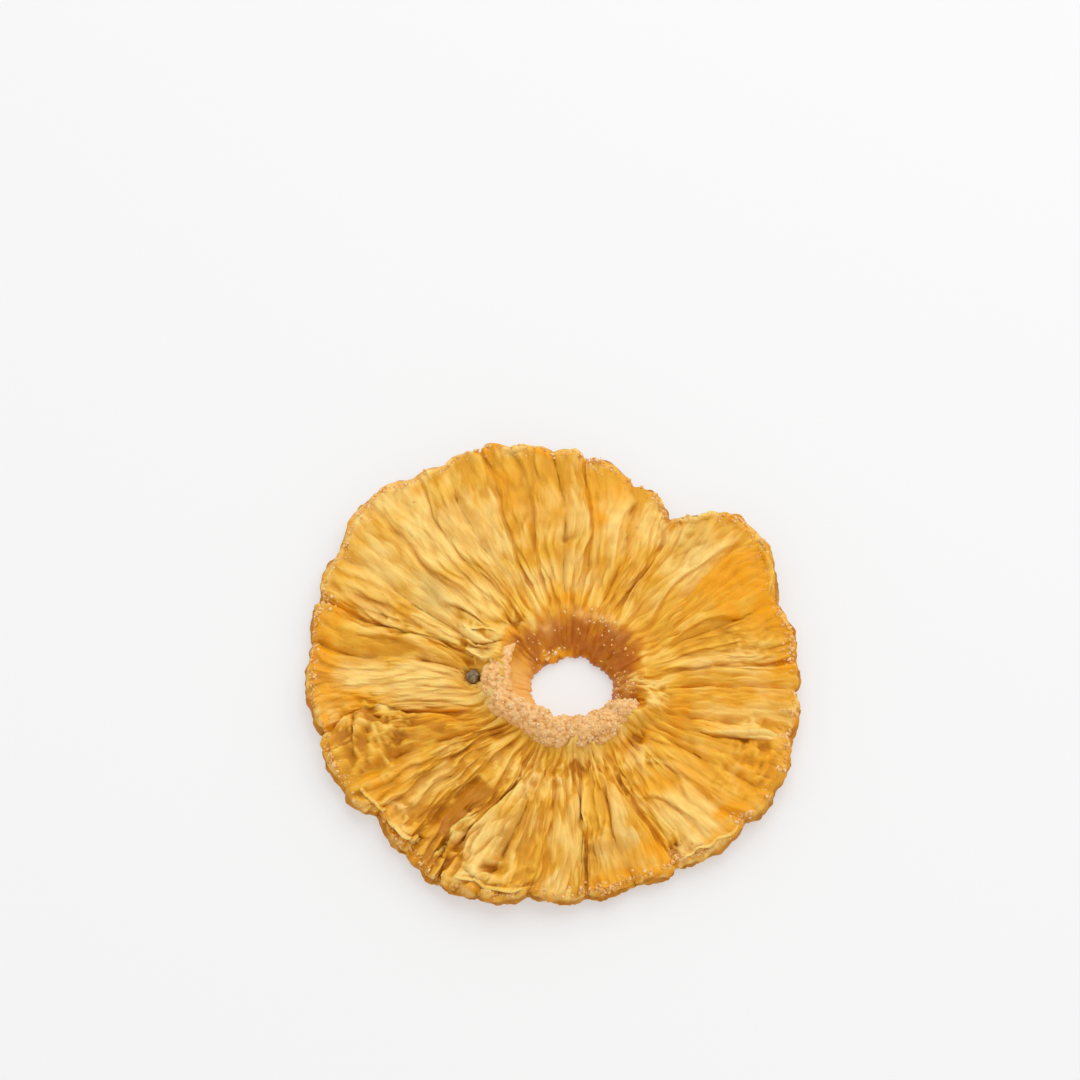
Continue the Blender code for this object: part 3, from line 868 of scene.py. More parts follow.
        # Painted shade: brown in the pits, along the creases, at the ridges' steep feet and in the crumples'
        # hollows, and where the relief is low, most round the chunky lobes
        deep = 0.75 * smooth(0.35, 1.1, pit) + 0.5 * self.crease + 0.5 * foot + 0.9 * np.maximum(0, -crumple)
        deep = np.maximum(deep, (0.28 + 0.25 * chunky) * smooth(0.35, 0.0, self.relief))
        # The funnel's wall: its real sticky crust, with painted shade that is heavier at the back and right,
        # where the wall faces away from the key light, and deeper towards the hole, and lighter on the
        # flutes' crests
        darker = 0.2 * smooth(12.0, 8.5, radius) - more_straw - 0.5 * flute
        shaded_side = 0.3 * np.cos(angle - np.radians(35))
        self.toffee_and_shade = held((0.74 + shaded_side + 1.1 * crust + 0.4 * ledge + darker) * funnel)
        crust_and_shade = (0.3 + 0.9 * crust + 0.6 * ledge + darker) * funnel
        # Brown: the lobes' real stains, the painted shade above and the patches' brown, which is heavier
        # where the relief is low as painted shade; the funnel's crust and shade take over where they are more
        self.brown = held(np.maximum(brown_share + deep + more_brown * (1.3 - 0.8 * self.relief), crust_and_shade))
        self.grey = held(0.4 * lobes(LOBE_GREY) * smooth(-0.15, 0.35, patch) + more_grey)
        self.peach = held(inner_wall + frosted * (0.6 + 1.6 * crust + 1.2 * ledge))
        self.gloss = np.clip(0.3 + 0.5 * self.amber + 0.5 * blotch + funnel, 0, 1.6)

    def spot(self, height):
        """Millimetres from the origin, at a height above the surface that the ring lies on."""
        x = POLE[0] + self.radius * np.cos(self.turned) + self.over[..., 0]
        y = POLE[1] + self.radius * np.sin(self.turned) + self.over[..., 1]
        return stacked(x, y, height)

    def looks(self):
        """The looks by name, as the mesh stores them."""
        return {name: getattr(self, name) for name in LOOKS}


# Meshes

def new_piece(name, points, faces, looks=None, vectors=None):
    """A smooth-shaded mesh object from points in millimetres and rows of corner numbers. Looks are numbers
    and vectors are threes of numbers that its points store by name."""
    points = np.asarray(points, float).reshape(-1, 3)
    faces = [np.asarray(rows, int) for rows in faces if len(rows)]
    corners = np.concatenate([rows.ravel() for rows in faces])
    counts = np.concatenate([np.full(len(rows), rows.shape[1]) for rows in faces])
    mesh = bpy.data.meshes.new(name)
    mesh.vertices.add(len(points))
    mesh.vertices.foreach_set("co", (points * MM).astype(np.float32).ravel())
    mesh.loops.add(len(corners))
    mesh.loops.foreach_set("vertex_index", corners)
    mesh.polygons.add(len(counts))
    mesh.polygons.foreach_set("loop_start", np.append(0, np.cumsum(counts)[:-1]))
    mesh.update(calc_edges=True)
    for kind, field, layers in (("FLOAT", "value", looks), ("FLOAT_VECTOR", "vector", vectors)):
        for label, values in (layers or {}).items():
            layer = mesh.attributes.new(label, kind, "POINT")
            layer.data.foreach_set(field, np.asarray(values, np.float32).ravel())
    mesh.shade_smooth()
    piece = bpy.data.objects.new(name, mesh)
    bpy.context.scene.collection.objects.link(piece)
    return piece


def loop_faces(columns, rows, first=0, close_columns=True, close_rows=True):
    """Quads between the points of a grid, stored column by column, which may close on itself either way."""
    column = np.arange(columns if close_columns else columns - 1)[:, None]
    row = np.arange(rows if close_rows else rows - 1)[None, :]
    after = (column + 1) % columns
    above = (row + 1) % rows
    quads = (column * rows + row, after * rows + row, after * rows + above, column * rows + above)
    return first + stacked(*quads).reshape(-1, 4)


def tube_faces(columns, rows, first=0):
    """A tube whose grid closes round its section, with a fan at each end to a point stored after the grid."""
    row = np.arange(rows)
    above = (row + 1) % rows
    start, end = columns * rows, columns * rows + 1
    last = (columns - 1) * rows
    fans = first + np.concatenate((stacked(start, row, above), stacked(end, last + above, last + row)))
    return loop_faces(columns, rows, first, close_columns=False), fans


def with_ends(grid):
    """A tube's grid of points, flattened, with the middle of its first and last section added."""
    flat = grid.reshape(-1, grid.shape[-1])
    return np.concatenate((flat, grid[:1].mean(axis=1), grid[-1:].mean(axis=1)))


# Finishes

class Wire:
    """A number inside a material. Arithmetic on it adds the Math nodes that work it out."""

    def __init__(self, bench, socket):
        self.bench = bench
        self.socket = socket

    def math(self, operation, *values, clamp=False):
        settings = {"operation": operation, "use_clamp": clamp}
        return self.bench.node("ShaderNodeMath", settings, dict(enumerate(values)))

    def __add__(self, other):
        return self.math("ADD", self, other)

    def __sub__(self, other):
        return self.math("SUBTRACT", self, other)

    def __rsub__(self, other):
        return self.math("SUBTRACT", other, self)

    def __mul__(self, other):
        return self.math("MULTIPLY", self, other)

    def size(self):
        """The value without its sign."""
        return self.math("ABSOLUTE", self)

    def held(self):
        """The value kept from 0 to 1."""
        return self.math("ADD", self, 0.0, clamp=True)


class Bench:
    """One material and its nodes."""

    def __init__(self, name):
        self.material = bpy.data.materials.new(name)
        self.material.use_nodes = True
        self.tree = self.material.node_tree
        self.tree.nodes.clear()

    def node(self, kind, settings=None, sockets=None, output=0):
        """A new node: its settings first, then its sockets' values or links. Returns one of its outputs."""
        made = self.tree.nodes.new(kind)
        for name, value in (settings or {}).items():
            setattr(made, name, value)
        for name, value in (sockets or {}).items():
            if isinstance(value, Wire):
                self.tree.links.new(value.socket, made.inputs[name])
            else:
                made.inputs[name].default_value = value
        return Wire(self, made.outputs[output]) if made.outputs else None

    def look(self, name):
        """A number stored on the mesh."""
        return self.node("ShaderNodeAttribute", {"attribute_name": name}, output="Fac")

    def place(self, name=None):
        """Where a point is: a vector stored on the mesh, or the object's own coordinates in metres."""
        if name:
            return self.node("ShaderNodeAttribute", {"attribute_name": name}, output="Vector")
        return self.node("ShaderNodeTexCoord", output="Object")

    def stretched(self, vector, scale):
        """The vector with each of its parts multiplied."""
        return self.node("ShaderNodeMapping", None, {"Vector": vector, "Scale": scale})

    def noise(self, vector, scale, detail=2.0, roughness=0.5):
        """Smooth noise from about 0 to 1."""
        sockets = {"Vector": vector, "Scale": scale, "Detail": detail, "Roughness": roughness}
        return self.node("ShaderNodeTexNoise", None, sockets)

    def ribs(self, along, stretch, scale):
        """Rounded ribs, and narrow grooves at 0 where a stretched noise crosses its middle."""
        return (self.noise(self.stretched(along, stretch), scale, 1.5) - 0.5).size() * RIB_RISE

    def mix(self, factor, first, second):
        """From the first colour to the second."""
        first, second = (v if isinstance(v, Wire) else (*v, 1.0) for v in (first, second))
        return self.node("ShaderNodeMix", {"data_type": "RGBA"}, {0: factor, 6: first, 7: second}, output=2)

    def bump(self, height, distance, strength):
        """A normal that makes a height of 1 look as high as the distance in metres."""
        sockets = {"Height": height, "Distance": distance, "Strength": strength}
        return self.node("ShaderNodeBump", None, sockets)

    def finish(self, **sockets):
        """Ends in a Principled BSDF with these sockets, underscores standing for spaces."""
        named = {name.replace("_", " "): value for name, value in sockets.items()}
        shader = self.node("ShaderNodeBsdfPrincipled", {"subsurface_method": "RANDOM_WALK"}, named)
        self.node("ShaderNodeOutputMaterial", None, {"Surface": shader})
        return self.material


def flesh_finish(name, depth=0.0009):
    """Dried flesh: golden, with straw patches, amber where it is glassy, and brown in real stains. Painted
    light and shade: crests and ribs are paler, and creases, pits, grooves and low relief are browner. Fine
    fibres run along the radius: rounded ribs with narrow grooves between them."""
    colours = chosen("colours")
    bench = Bench(name)
    grain = bench.place("grain")
    relief, straw, amber, brown, grey, gloss, peach, fibrous, toffee_and_shade = map(bench.look, LOOKS)
    ribs = bench.ribs(grain, RIB_STRETCH, RIB_SCALE)
    threads = bench.ribs(grain, THREAD_STRETCH, THREAD_SCALE)
    flecks = bench.noise(bench.place(), FLECK_SCALE, 3.0, 0.6)
    speckle = flecks - 0.5
    pores = bench.noise(bench.place(), PORE_SCALE)
    fibres = (ribs * 0.72 + threads * 0.22 - 0.43) * fibrous
    # Painted light and shade: the colour goes towards golden with the relief and the fibre ribs and towards
    # the darker colour in the grooves, straw is paler on raised places, and amber gathers in the grooves
    crest = (relief * 0.85 + fibres * 0.42 + speckle * 0.5 + 0.12).held()
    pale = (straw * 0.9 + fibres * 0.32 + speckle * 0.5 + (relief - 0.6) * 0.4).held()
    glow = (amber * 1.25 + speckle * 0.6 - fibres * 0.3).held() * 0.95
    clear = (grey + speckle * 0.5).held() * grey * 0.7
    # Brown: the real stains, with painted shade in creases, pits and grooves, heavier where the relief is low
    brown_share = brown * 1.1 + speckle * 0.4 - fibres * 0.3 - (relief - 0.5) * 0.3
    brown_share = (brown_share * brown).held() * 0.9
    colour = bench.mix(crest, colours.valley_shade, colours.golden)
    layers = (
        (pale, colours.straw), (glow, colours.amber), (toffee_and_shade, colours.toffee_and_shade),
        (clear, colours.glassy), (peach, colours.wall), (brown_share, colours.crease),
    )
    for share, tint in layers:
        colour = bench.mix(share, colour, tint)
    roughness = 0.6 - gloss * 0.26 + speckle * 0.35
    height = fibres * 0.75 + flecks * 0.7 + pores * 0.38
    return bench.finish(
        Base_Color=colour,
        Roughness=roughness.held(),
        Normal=bench.bump(height, 0.0004, 0.6),
        Subsurface_Weight=0.5,
        Subsurface_Radius=(1.0, 0.5, 0.12),
        Subsurface_Scale=depth,
        IOR=1.4,
        Specular_IOR_Level=0.2,
        Coat_Weight=(gloss * 0.14).held(),
        Coat_Roughness=0.28,
    )


def core_finish():
    """The core: beige grains with pale flecks, painted amber between them as shade and pale on their tips as
    highlight, and the inner wall's orange where the mesh marks amber.
    """
    colours = chosen("colours")
    bench = Bench("core_grain")
    grain = bench.look("relief")
    flecks = bench.noise(bench.place(), CORE_FLECK_SCALE, 3.0, 0.6)
    colour = bench.mix((grain * 1.1 + (flecks - 0.5) * 0.8).held(), colours.core_shade, colours.core)
    colour = bench.mix(((flecks - 0.58) * 2.6 + (grain - 0.7) * 0.8).held(), colour, colours.core_pale)
    colour = bench.mix((bench.look("amber") - (grain - 0.4) * 0.3).held(), colour, colours.wall)
    pores = bench.noise(bench.place(), CORE_PORE_SCALE, 2.0, 0.6)
    return bench.finish(
        Base_Color=colour,
        Roughness=0.66,
        Normal=bench.bump(pores, 0.00014, 0.5),
        Subsurface_Weight=0.5,
        Subsurface_Radius=(1.0, 0.55, 0.2),
        Subsurface_Scale=0.0008,
        IOR=1.4,
        Specular_IOR_Level=0.25,
    )


def grain_finish(name, dull, pale):
    """Grains and crumbs, each between two colours."""
    bench = Bench(name)
    return bench.finish(
        Base_Color=bench.mix(bench.look("shade"), dull, pale),
        Roughness=0.5,
        Subsurface_Weight=0.2,
        Subsurface_Radius=(1.0, 0.8, 0.6),
        Subsurface_Scale=0.0001,
        IOR=1.4,
        Specular_IOR_Level=0.3,
    )


def pip_finish():
    """A dry grey-brown pip with pale veins."""
    colours = chosen("colours")
    bench = Bench("dark_pip")
    veins = bench.noise(bench.stretched(bench.place(), VEIN_STRETCH), VEIN_SCALE, 3.0, 0.6)
    colour = bench.mix(((veins - 0.4) * 2.5).held(), colours.pip, colours.pip_pale)
    return bench.finish(Base_Color=colour, Roughness=0.55, Normal=bench.bump(veins, 0.0001, 0.5))


def floor_finish():
    """A white sweep that glows a little, as a light table does, with the faintest unevenness of gloss."""
    bench = Bench("pale_floor")
    haze = bench.noise(bench.place(), HAZE_SCALE)
    settings = chosen("stage")
    return bench.finish(
        Base_Color=(*settings.floor_colour, 1.0),
        Roughness=haze * 0.1 + 0.6,
        Emission_Color=(1.0, 1.0, 1.0, 1.0),
        Emission_Strength=settings.floor_glow,
    )


# Pieces

def stand_for_ring(piece, finish, replaces=False):
    """The piece gets its finish and rides on the ring's body; a piece that replaces the solid hides it."""
    piece.data.materials.append(finish)
    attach(piece, "root")
    if replaces:
        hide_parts("pineapple_ring")


def section_rows(top_rows, under_rows, rim_rows, lip_rows):
    """Round a section from the rim over the top to the hole and back below: how far out each point is, from 0
    at the hole's edge to 1 at the rim's, how far into either rounding it is, and how high, from -1 to 1."""
    up = np.linspace(0, np.pi / 2, rim_rows, endpoint=False)
    over = np.linspace(np.pi / 2, -np.pi / 2, lip_rows)
    top = np.linspace(1, 0, top_rows, endpoint=False)
    under = np.linspace(0, 1, under_rows + 1)[1:]
    down = np.linspace(-np.pi / 2, 0, rim_rows, endpoint=False)[1:]
    reach = np.concatenate((np.ones(rim_rows), top, np.zeros(lip_rows), under, np.ones(rim_rows - 1)))
    swing = np.concatenate((up, np.full(top_rows, np.pi / 2), over, np.full(under_rows, -np.pi / 2), down))
    return reach, np.cos(swing), np.sin(swing)


def flesh_ring():
    """The whole disc of flesh: its section, a slab with a round rim and lip, goes round the hole, and the top
    and underside take the heights of the Flesh surface."""
    sizes = chosen("flesh")
    reach, inset, side = section_rows(sizes.top_rows, sizes.under_rows, sizes.rim_rows, sizes.lip_rows)
    angle = np.arange(sizes.columns)[:, None] / sizes.columns * TAU
    inner = hole_edge(angle) + LIP_ROUND + 0.5 * LEDGE(angle, 3.0) + 0.2 * NICK(angle, 4.0)
    nick = 0.5 * NICK(angle, 3 * side + 5) + 1.2 * LEDGE(angle, 2.2 * side + 5)
    outer = outline(angle) - RIM_ROUND + nick * (reach > 0.99) * (0.25 + 0.75 * inset)
    radius = inner + reach * (outer - inner)
    radius = radius + np.where(reach > 0.5, RIM_ROUND, -LIP_ROUND) * inset * ((reach == 1) | (reach == 0))
    flesh = Flesh(angle, radius)
    # Painted shade on the rim's wall, heavier towards its bottom, with some real browning: more brown and
    # lower relief
    rim_shade_and_browning = (reach == 1) * smooth(0.85, 0.2, side) * (1.0 + 1.2 * LEDGE(angle, 2.2 * side + 9))
    flesh.brown = held(np.maximum(flesh.brown, rim_shade_and_browning))
    flesh.relief = flesh.relief * (1 - 0.6 * held(rim_shade_and_browning))
    height = flesh.bottom + (flesh.top - flesh.bottom) * (0.5 + 0.5 * side)
    points = flesh.spot(height)
    grain = stacked(GRAIN_WIDTH * np.cos(flesh.turned), GRAIN_WIDTH * np.sin(flesh.turned), radius)
    faces = loop_faces(*points.shape[:2])
    piece = new_piece("flesh_ring", points, [faces], flesh.looks(), {"grain": grain})
    stand_for_ring(piece, flesh_finish("dried_flesh"), replaces=True)


def collar_line(angle):
    """The rope's middle line: its distance from the pole, its height and its thickness. It tapers into the
    folds at the left, and ends in a broken knob at the right."""
    turn = np.degrees(angle)
    knob = hump(turn, KNOB_DEG, KNOB_SPREAD_DEG)
    away = rope_radius(angle) + 0.1 - 1.0 * smooth(312, 345, turn) + 0.4 * np.sin(5 * angle)
    thick = ROPE_THICKNESS + 0.25 * lump(angle) + 0.3 * knob - 0.35 * smooth(300, 335, turn)
    thick = thick + 0.15 * hump(turn, 205, 22) - 0.35 * smooth(185, 165, turn)
    along = held((turn - COLLAR_FROM_DEG) / (COLLAR_TO_DEG - COLLAR_FROM_DEG))
    thick = thick * np.minimum(1, along / 0.13) ** 0.9
    thick = thick * np.sqrt(1 - (1 - np.minimum(1, (1 - along) / 0.06)) ** 2)
    level = ROPE_LEVEL + 0.15 * lump(angle) + 0.2 * smooth(326, 345, turn) + 0.3 * smooth(170, 145, turn)
    return away, level, thick


def core_collar():
    """The rope of core in front of the hole: a round section carried along its line, with lumps, and grains
    of three sizes standing out from it. It is smooth where it comes out of the folds at the left."""
    sizes = chosen("collar")
    columns, rows = sizes.columns, sizes.rows
    angle = np.radians(np.linspace(COLLAR_FROM_DEG + 0.2, COLLAR_TO_DEG - 0.2, columns))[:, None]
    phase = np.arange(rows) / rows * TAU
    away, level, thick = collar_line(angle)

    def tube(thickness):
        out = away + thickness * np.cos(phase) * (1.08 - 0.12 * np.sin(phase))
        high = level + 0.95 * thickness * np.sin(phase)
        x = POLE[0] + out * np.cos(angle)
        y = POLE[1] + out * np.sin(angle)
        return stacked(x, y, high)

    smooth_tube = tube(thick * np.ones_like(phase))
    lumps, large, small, tiny = (grains(smooth_tube, size, seed) for size, seed in ROPE_GRAINS)
    grainy = smooth(133, 160, np.degrees(angle)) * np.ones_like(phase)
    swell = 0.65 * (lumps - 0.6) + 0.5 * (large - 0.5)
    swell = swell + sizes.grain_height / MM * (small - 0.4) + 0.1 * (tiny - 0.5)
    fade = np.clip(thick / 1.2, 0.15, 1) * (0.3 + 0.7 * grainy)
    points = tube(thick - 0.25 + swell * fade)
    # The grains' height, which the finish paints as shade between the grains and highlight on their tips; it
    # is flatter in the smooth stretch at the left
    relief = held(0.45 * small + 0.5 * large + 0.2 * tiny - 0.1) * (0.4 + 0.6 * grainy) + 0.3 * (1 - grainy)
    inner = smooth(-0.25, -0.85, np.cos(phase)) * smooth(0.7, 0.1, np.sin(phase))
    amber = inner * (0.5 + 0.5 * smooth(215, 190, np.degrees(angle)))
    golden = hump(np.degrees(angle), 302, 13) * smooth(-0.3, 0.5, np.cos(phase))
    amber = np.maximum(amber, 1.3 * golden * (1 - large))
    flat = with_ends(np.concatenate((points, relief[..., None], amber[..., None]), axis=-1))
    looks = {"relief": flat[:, 3], "amber": flat[:, 4]}
    piece = new_piece("core_collar", flat[:, :3], tube_faces(columns, rows), looks)
    stand_for_ring(piece, core_finish())
    return points


def curled_skins():
    """Thin flaps that curl over, most of them at the rim: each is a low leaf-shaped wall along a line on the
    surface, ruffled, leaning over, with both faces and a rounded edge."""
    along = np.linspace(0, 1, FLAP_STEPS)[:, None]
    up = np.concatenate((np.linspace(0, 1, FLAP_RISE), np.linspace(1, 0, FLAP_RISE)))
    face = np.repeat((-1.0, 1.0), FLAP_RISE)
    points, faces, first = [], [[], []], 0
    for number, (from_deg, to_deg, from_out, to_out, height, lean) in enumerate(FLAPS):
        shift = 0.37 * number
        angle = np.radians(from_deg + (to_deg - from_deg) * along)
        out = from_out + (to_out - from_out) * along
        outer = outline(angle)
        begins = collar_edge(angle)
        radius = begins + out * (outer - begins)
        radius = radius + 1.6 * SWAY(4 * angle + shift, 40.0) + 0.8 * BLOTCH(angle + shift, 50.0)
        radius = np.minimum(radius, outer - 0.8)
        flesh = Flesh(angle, radius)
        base = flesh.spot(flesh.top - FLAP_SUNK)
        travel = np.gradient(base[:, 0, :2], axis=0)
        travel = travel / np.maximum(np.linalg.norm(travel, axis=1, keepdims=True), ROUNDING)
        sideways = stacked(travel[:, 1], -travel[:, 0])[:, None, :]
        leaf = np.sin(np.pi * np.clip(along, 0.02, 0.98)) ** 0.6
        jag = 1 + 0.9 * BLOTCH(angle + shift, 60.0) + 0.5 * NICK(angle + shift, 60.0)
        tall = (height + 0.4) * leaf * jag
        ruffle = 0.8 * BLOTCH(1.7 * angle + shift, 70.0) * up
        across_by = lean * up**1.8 * leaf + ruffle + face * FLAP_HALF_THICKNESS * (1 - 0.7 * up)
        spot = np.repeat(base, 2 * FLAP_RISE, axis=1)
        spot[..., :2] += sideways * across_by[..., None]
        spot[..., 2] += tall * np.sin(up * np.pi * 0.56)
        grain = stacked(GRAIN_WIDTH * np.cos(angle), GRAIN_WIDTH * np.sin(angle), radius + 0 * up)
        # The flaps are paler and less amber towards their top edge: painted light, with the pale edge that
        # the thin skin has
        look = stacked(
            0.6 + 0.4 * up, 0.8 * flesh.straw + 0.4 * up**3, flesh.amber * (1 - 0.5 * up), 0.4 * flesh.brown,
            0 * up, flesh.gloss, 0 * up, 0.5, 0 * up,
        )
        flat = with_ends(np.concatenate((spot, grain, look), axis=-1))
        quads, fans = tube_faces(FLAP_STEPS, 2 * FLAP_RISE, first)
        points.append(flat)
        faces[0].append(quads)
        faces[1].append(fans)
        first += len(flat)
    flat = np.concatenate(points)
    looks = {name: flat[:, 6 + i] for i, name in enumerate(LOOKS)}
    faces = [np.concatenate(rows) for rows in faces]
    piece = new_piece("curled_skins", flat[:, :3], faces, looks, {"grain": flat[:, 3:6]})
    stand_for_ring(piece, flesh_finish("thin_skin", depth=0.0001))


def crumb_faces():
    """The twenty triangles of an icosahedron, and its twelve corners, one unit from the middle."""
    golden = (1 + 5**0.5) / 2
    corners = np.array([
        (-1, golden, 0), (1, golden, 0), (-1, -golden, 0), (1, -golden, 0),
        (0, -1, golden), (0, 1, golden), (0, -1, -golden), (0, 1, -golden),
        (golden, 0, -1), (golden, 0, 1), (-golden, 0, -1), (-golden, 0, 1),
    ])
    faces = np.array([
        (0, 11, 5), (0, 5, 1), (0, 1, 7), (0, 7, 10), (0, 10, 11),
        (1, 5, 9), (5, 11, 4), (11, 10, 2), (10, 7, 6), (7, 1, 8),
        (3, 9, 4), (3, 4, 2), (3, 2, 6), (3, 6, 8), (3, 8, 9),
        (4, 9, 5), (2, 4, 11), (6, 2, 10), (8, 6, 7), (9, 8, 1),
    ])
    return corners / np.linalg.norm(corners[0]), faces


def scattered(name, spots, sizes, seed, finish):
    """Uneven twenty-sided bits of given sizes in millimetres, turned at random, one at each spot."""
    draw = np.random.default_rng(seed)
    count = len(spots)
    corners, faces = crumb_faces()
    spin = np.linalg.qr(draw.normal(size=(count, 3, 3)))[0]
    spin = spin * np.sign(np.linalg.det(spin))[:, None, None]
    shape = corners[None] * draw.uniform(0.65, 1.25, (count, 12, 1)) * draw.uniform(0.45, 1.2, (count, 1, 3))
    shape = np.einsum("nij,nkj->nki", spin, shape) * sizes[:, None, None] / 2
    points = spots[:, None, :] + shape
    points[..., 2] = np.maximum(points[..., 2], LOWEST_BIT)
    shade = np.repeat(draw.uniform(0, 1, count) ** 1.6, 12)
    rows = (faces[None] + 12 * np.arange(count)[:, None, None]).reshape(-1, 3)
    piece = new_piece(name, points, [rows], {"shade": shade})
    stand_for_ring(piece, finish)


def sugar_grains(collar_points):
    """Grains on the collar's rope, and others on the crest round the funnel and on the lip in front of it."""
    sizes = chosen("grains")
    colours = chosen("colours")
    draw = np.random.default_rng(GRAINS_SEED)
    columns, rows = collar_points.shape[:2]
    first = columns // 6
    picked = collar_points[draw.integers(first, columns, ROPE_TRIES), draw.integers(0, rows, ROPE_TRIES)]
    picked = picked[picked[:, 2] > ROPE_TOP_FROM][: sizes.on_collar]
    size = draw.uniform(0.45, 1.0, len(picked)) ** 1.5 * sizes.largest / MM
    finish = grain_finish("sugar_grain", colours.core, colours.sugar)
    scattered("sugar_grains", picked, size, GRAINS_SEED + 1, finish)
    third = sizes.on_funnel // 3
    around = [draw.normal(74, 9, third), draw.normal(4, 9, third), draw.uniform(30, 140, third)]
    crest = [draw.normal(away, spread, third) for away, spread in FUNNEL_GRAINS]
    on_lip = np.where(draw.uniform(0, 1, sizes.on_lip) < 0.5, *LIP_GRAINS_DEG)
    on_lip = on_lip + draw.normal(0, LIP_GRAINS_SPREAD_DEG, sizes.on_lip)
    around = np.radians(np.concatenate((*around, on_lip)))
    inner = hole_edge(around[-sizes.on_lip:]) + LIP_ROUND + np.abs(draw.normal(0, 0.6, sizes.on_lip)) - 0.1
    funnel = Flesh(around, np.concatenate((*crest, inner)))
    size = 0.2 + 0.6 * draw.uniform(0, 1, len(around)) ** 2
    finish = grain_finish("lip_grain", colours.crumb_deep, colours.core_pale)
    scattered("lip_grains", funnel.spot(funnel.top - 0.14), size, GRAINS_SEED + 2, finish)


def rim_crumbs():
    """Crumbs of flesh along the rim, on its edge and its wall, thickest in some stretches."""
    sizes = chosen("grains")
    colours = chosen("colours")
    draw = np.random.default_rng(CRUMBS_SEED)
    around = draw.uniform(0, TAU, 4 * sizes.on_rim)
    thickly = 0.25 + 0.75 * smooth(-0.1, 0.35, SWAY(3 * around, 40.0) + SWELL(5 * around, 9.0))
    around = around[draw.uniform(0, 1, len(around)) < thickly][: sizes.on_rim]
    count = len(around)
    inwards = np.abs(draw.normal(0, 0.9, count)) + 0.2
    rim = Flesh(around, outline(around) - inwards - 0.4)
    wall = Flesh(around, outline(around) - 0.5 + draw.normal(0, 0.12, count))
    low = wall.spot(wall.bottom + (wall.top - wall.bottom) * draw.uniform(0.1, 0.95, count))
    spots = np.where((draw.uniform(0, 1, count) < 0.45)[:, None], low, rim.spot(rim.top - 0.12))
    size = 0.22 + draw.uniform(0, 1, count) ** 3 * (sizes.largest / MM - 0.05)
    finish = grain_finish("rim_crumb", colours.crumb_deep, colours.crumb)
    scattered("rim_crumbs", spots, size, CRUMBS_SEED + 1, finish)


def dark_pip():
    """The pip in the fold left of the collar: a pointed, slightly squared drop, turned from a profile."""
    along = np.linspace(0, 1, PIP_COLUMNS)[:, None]
    phase = np.arange(PIP_ROWS) / PIP_ROWS * TAU
    length = chosen("grains").pip_length / MM
    wide = 0.42 * length * np.sin(np.pi * np.clip(along, 0.01, 0.99)) ** 0.7 * (1.25 - 0.75 * along)
    wide = wide * (1 + 0.08 * np.cos(4 * phase) + 0.05 * np.sin(3 * phase + 9 * along))
    local = stacked(wide * np.cos(phase), wide * np.sin(phase), length * along)
    turned = Quaternion(PIP_AXIS, np.radians(PIP_TURN_DEG)).to_matrix()
    local = local @ np.array(turned).T
    flesh = Flesh(np.radians(np.full(2, PIP_DEG)), np.full(2, PIP_RADIUS))
    base = flesh.spot(flesh.top)[0]
    points = with_ends(local + base + np.array((0.0, 0.0, -PIP_SUNK)))
    piece = new_piece("dark_pip", points, tube_faces(PIP_COLUMNS, PIP_ROWS))
    stand_for_ring(piece, pip_finish())


# The stage

def pale_floor():
    """A flat sheet far wider than the view, just below the ring."""
    reach = chosen("stage").floor_size / MM / 2
    side = np.linspace(-reach, reach, FLOOR_POINTS)
    points = stacked(side[:, None], side, -FLOOR_BELOW)
    quads = loop_faces(FLOOR_POINTS, FLOOR_POINTS, close_columns=False, close_rows=False)
    floor = new_piece("pale_floor", points, [quads])
    floor.data.materials.append(floor_finish())


def photograph_camera():
    """The camera looks down on the ring as the photograph does: a long lens, from the front, turned up and
    left a little so that the ring lies low in the frame, where it does there."""
    settings = chosen("stage")
    lens_pixels = settings.lens / SENSOR * FRAME_PIXELS
    distance = lens_pixels * settings.width_in_view / RING_WIDTH_PIXELS
    up_by = np.arctan((RING_PIXEL[1] - FRAME_PIXELS / 2) / lens_pixels)
    left_by = np.arctan((RING_PIXEL[0] - FRAME_PIXELS / 2) / lens_pixels * np.cos(up_by))
    back = Vector((0, -np.cos(settings.elevation), np.sin(settings.elevation)))
    right = Vector((1, 0, 0))
    upright = back.cross(right)
    facing = Matrix((right, upright, back)).transposed().to_quaternion()
    facing = Quaternion(right, up_by) @ facing
    facing = Quaternion(facing @ Vector((0, 1, 0)), left_by) @ facing
    data = bpy.data.cameras.new("photograph_camera")
    data.lens = settings.lens
    data.sensor_width = SENSOR
    data.clip_start = CLIP_START
    camera = bpy.data.objects.new("photograph_camera", data)
    camera.rotation_mode = "QUATERNION"
    camera.rotation_quaternion = facing
    camera.location = back * distance + Vector((0, 0, settings.middle_height))
    bpy.context.scene.collection.objects.link(camera)
    bpy.context.scene.camera = camera


def studio_light():
    """A white room, and one wide soft lamp behind the ring and above it."""
    settings = chosen("stage")
    world = bpy.data.worlds.new("white_room")
    world.use_nodes = True
    background = world.node_tree.nodes["Background"]
    background.inputs["Color"].default_value = (1.0, 1.0, 1.0, 1.0)
    background.inputs["Strength"].default_value = settings.room_light
    bpy.context.scene.world = world
    data = bpy.data.lights.new("key_light", "AREA")
    data.shape = "DISK"
    data.size = KEY_SIZE
    data.energy = settings.key_watts
    light = bpy.data.objects.new("key_light", data)
    towards = Vector(KEY_DIRECTION).normalized()
    light.location = towards * KEY_DISTANCE
    light.rotation_mode = "QUATERNION"
    light.rotation_quaternion = towards.to_track_quat("Z", "Y")
    bpy.context.scene.collection.objects.link(light)
    bpy.context.scene.view_settings.view_transform = "Standard"


# Settings

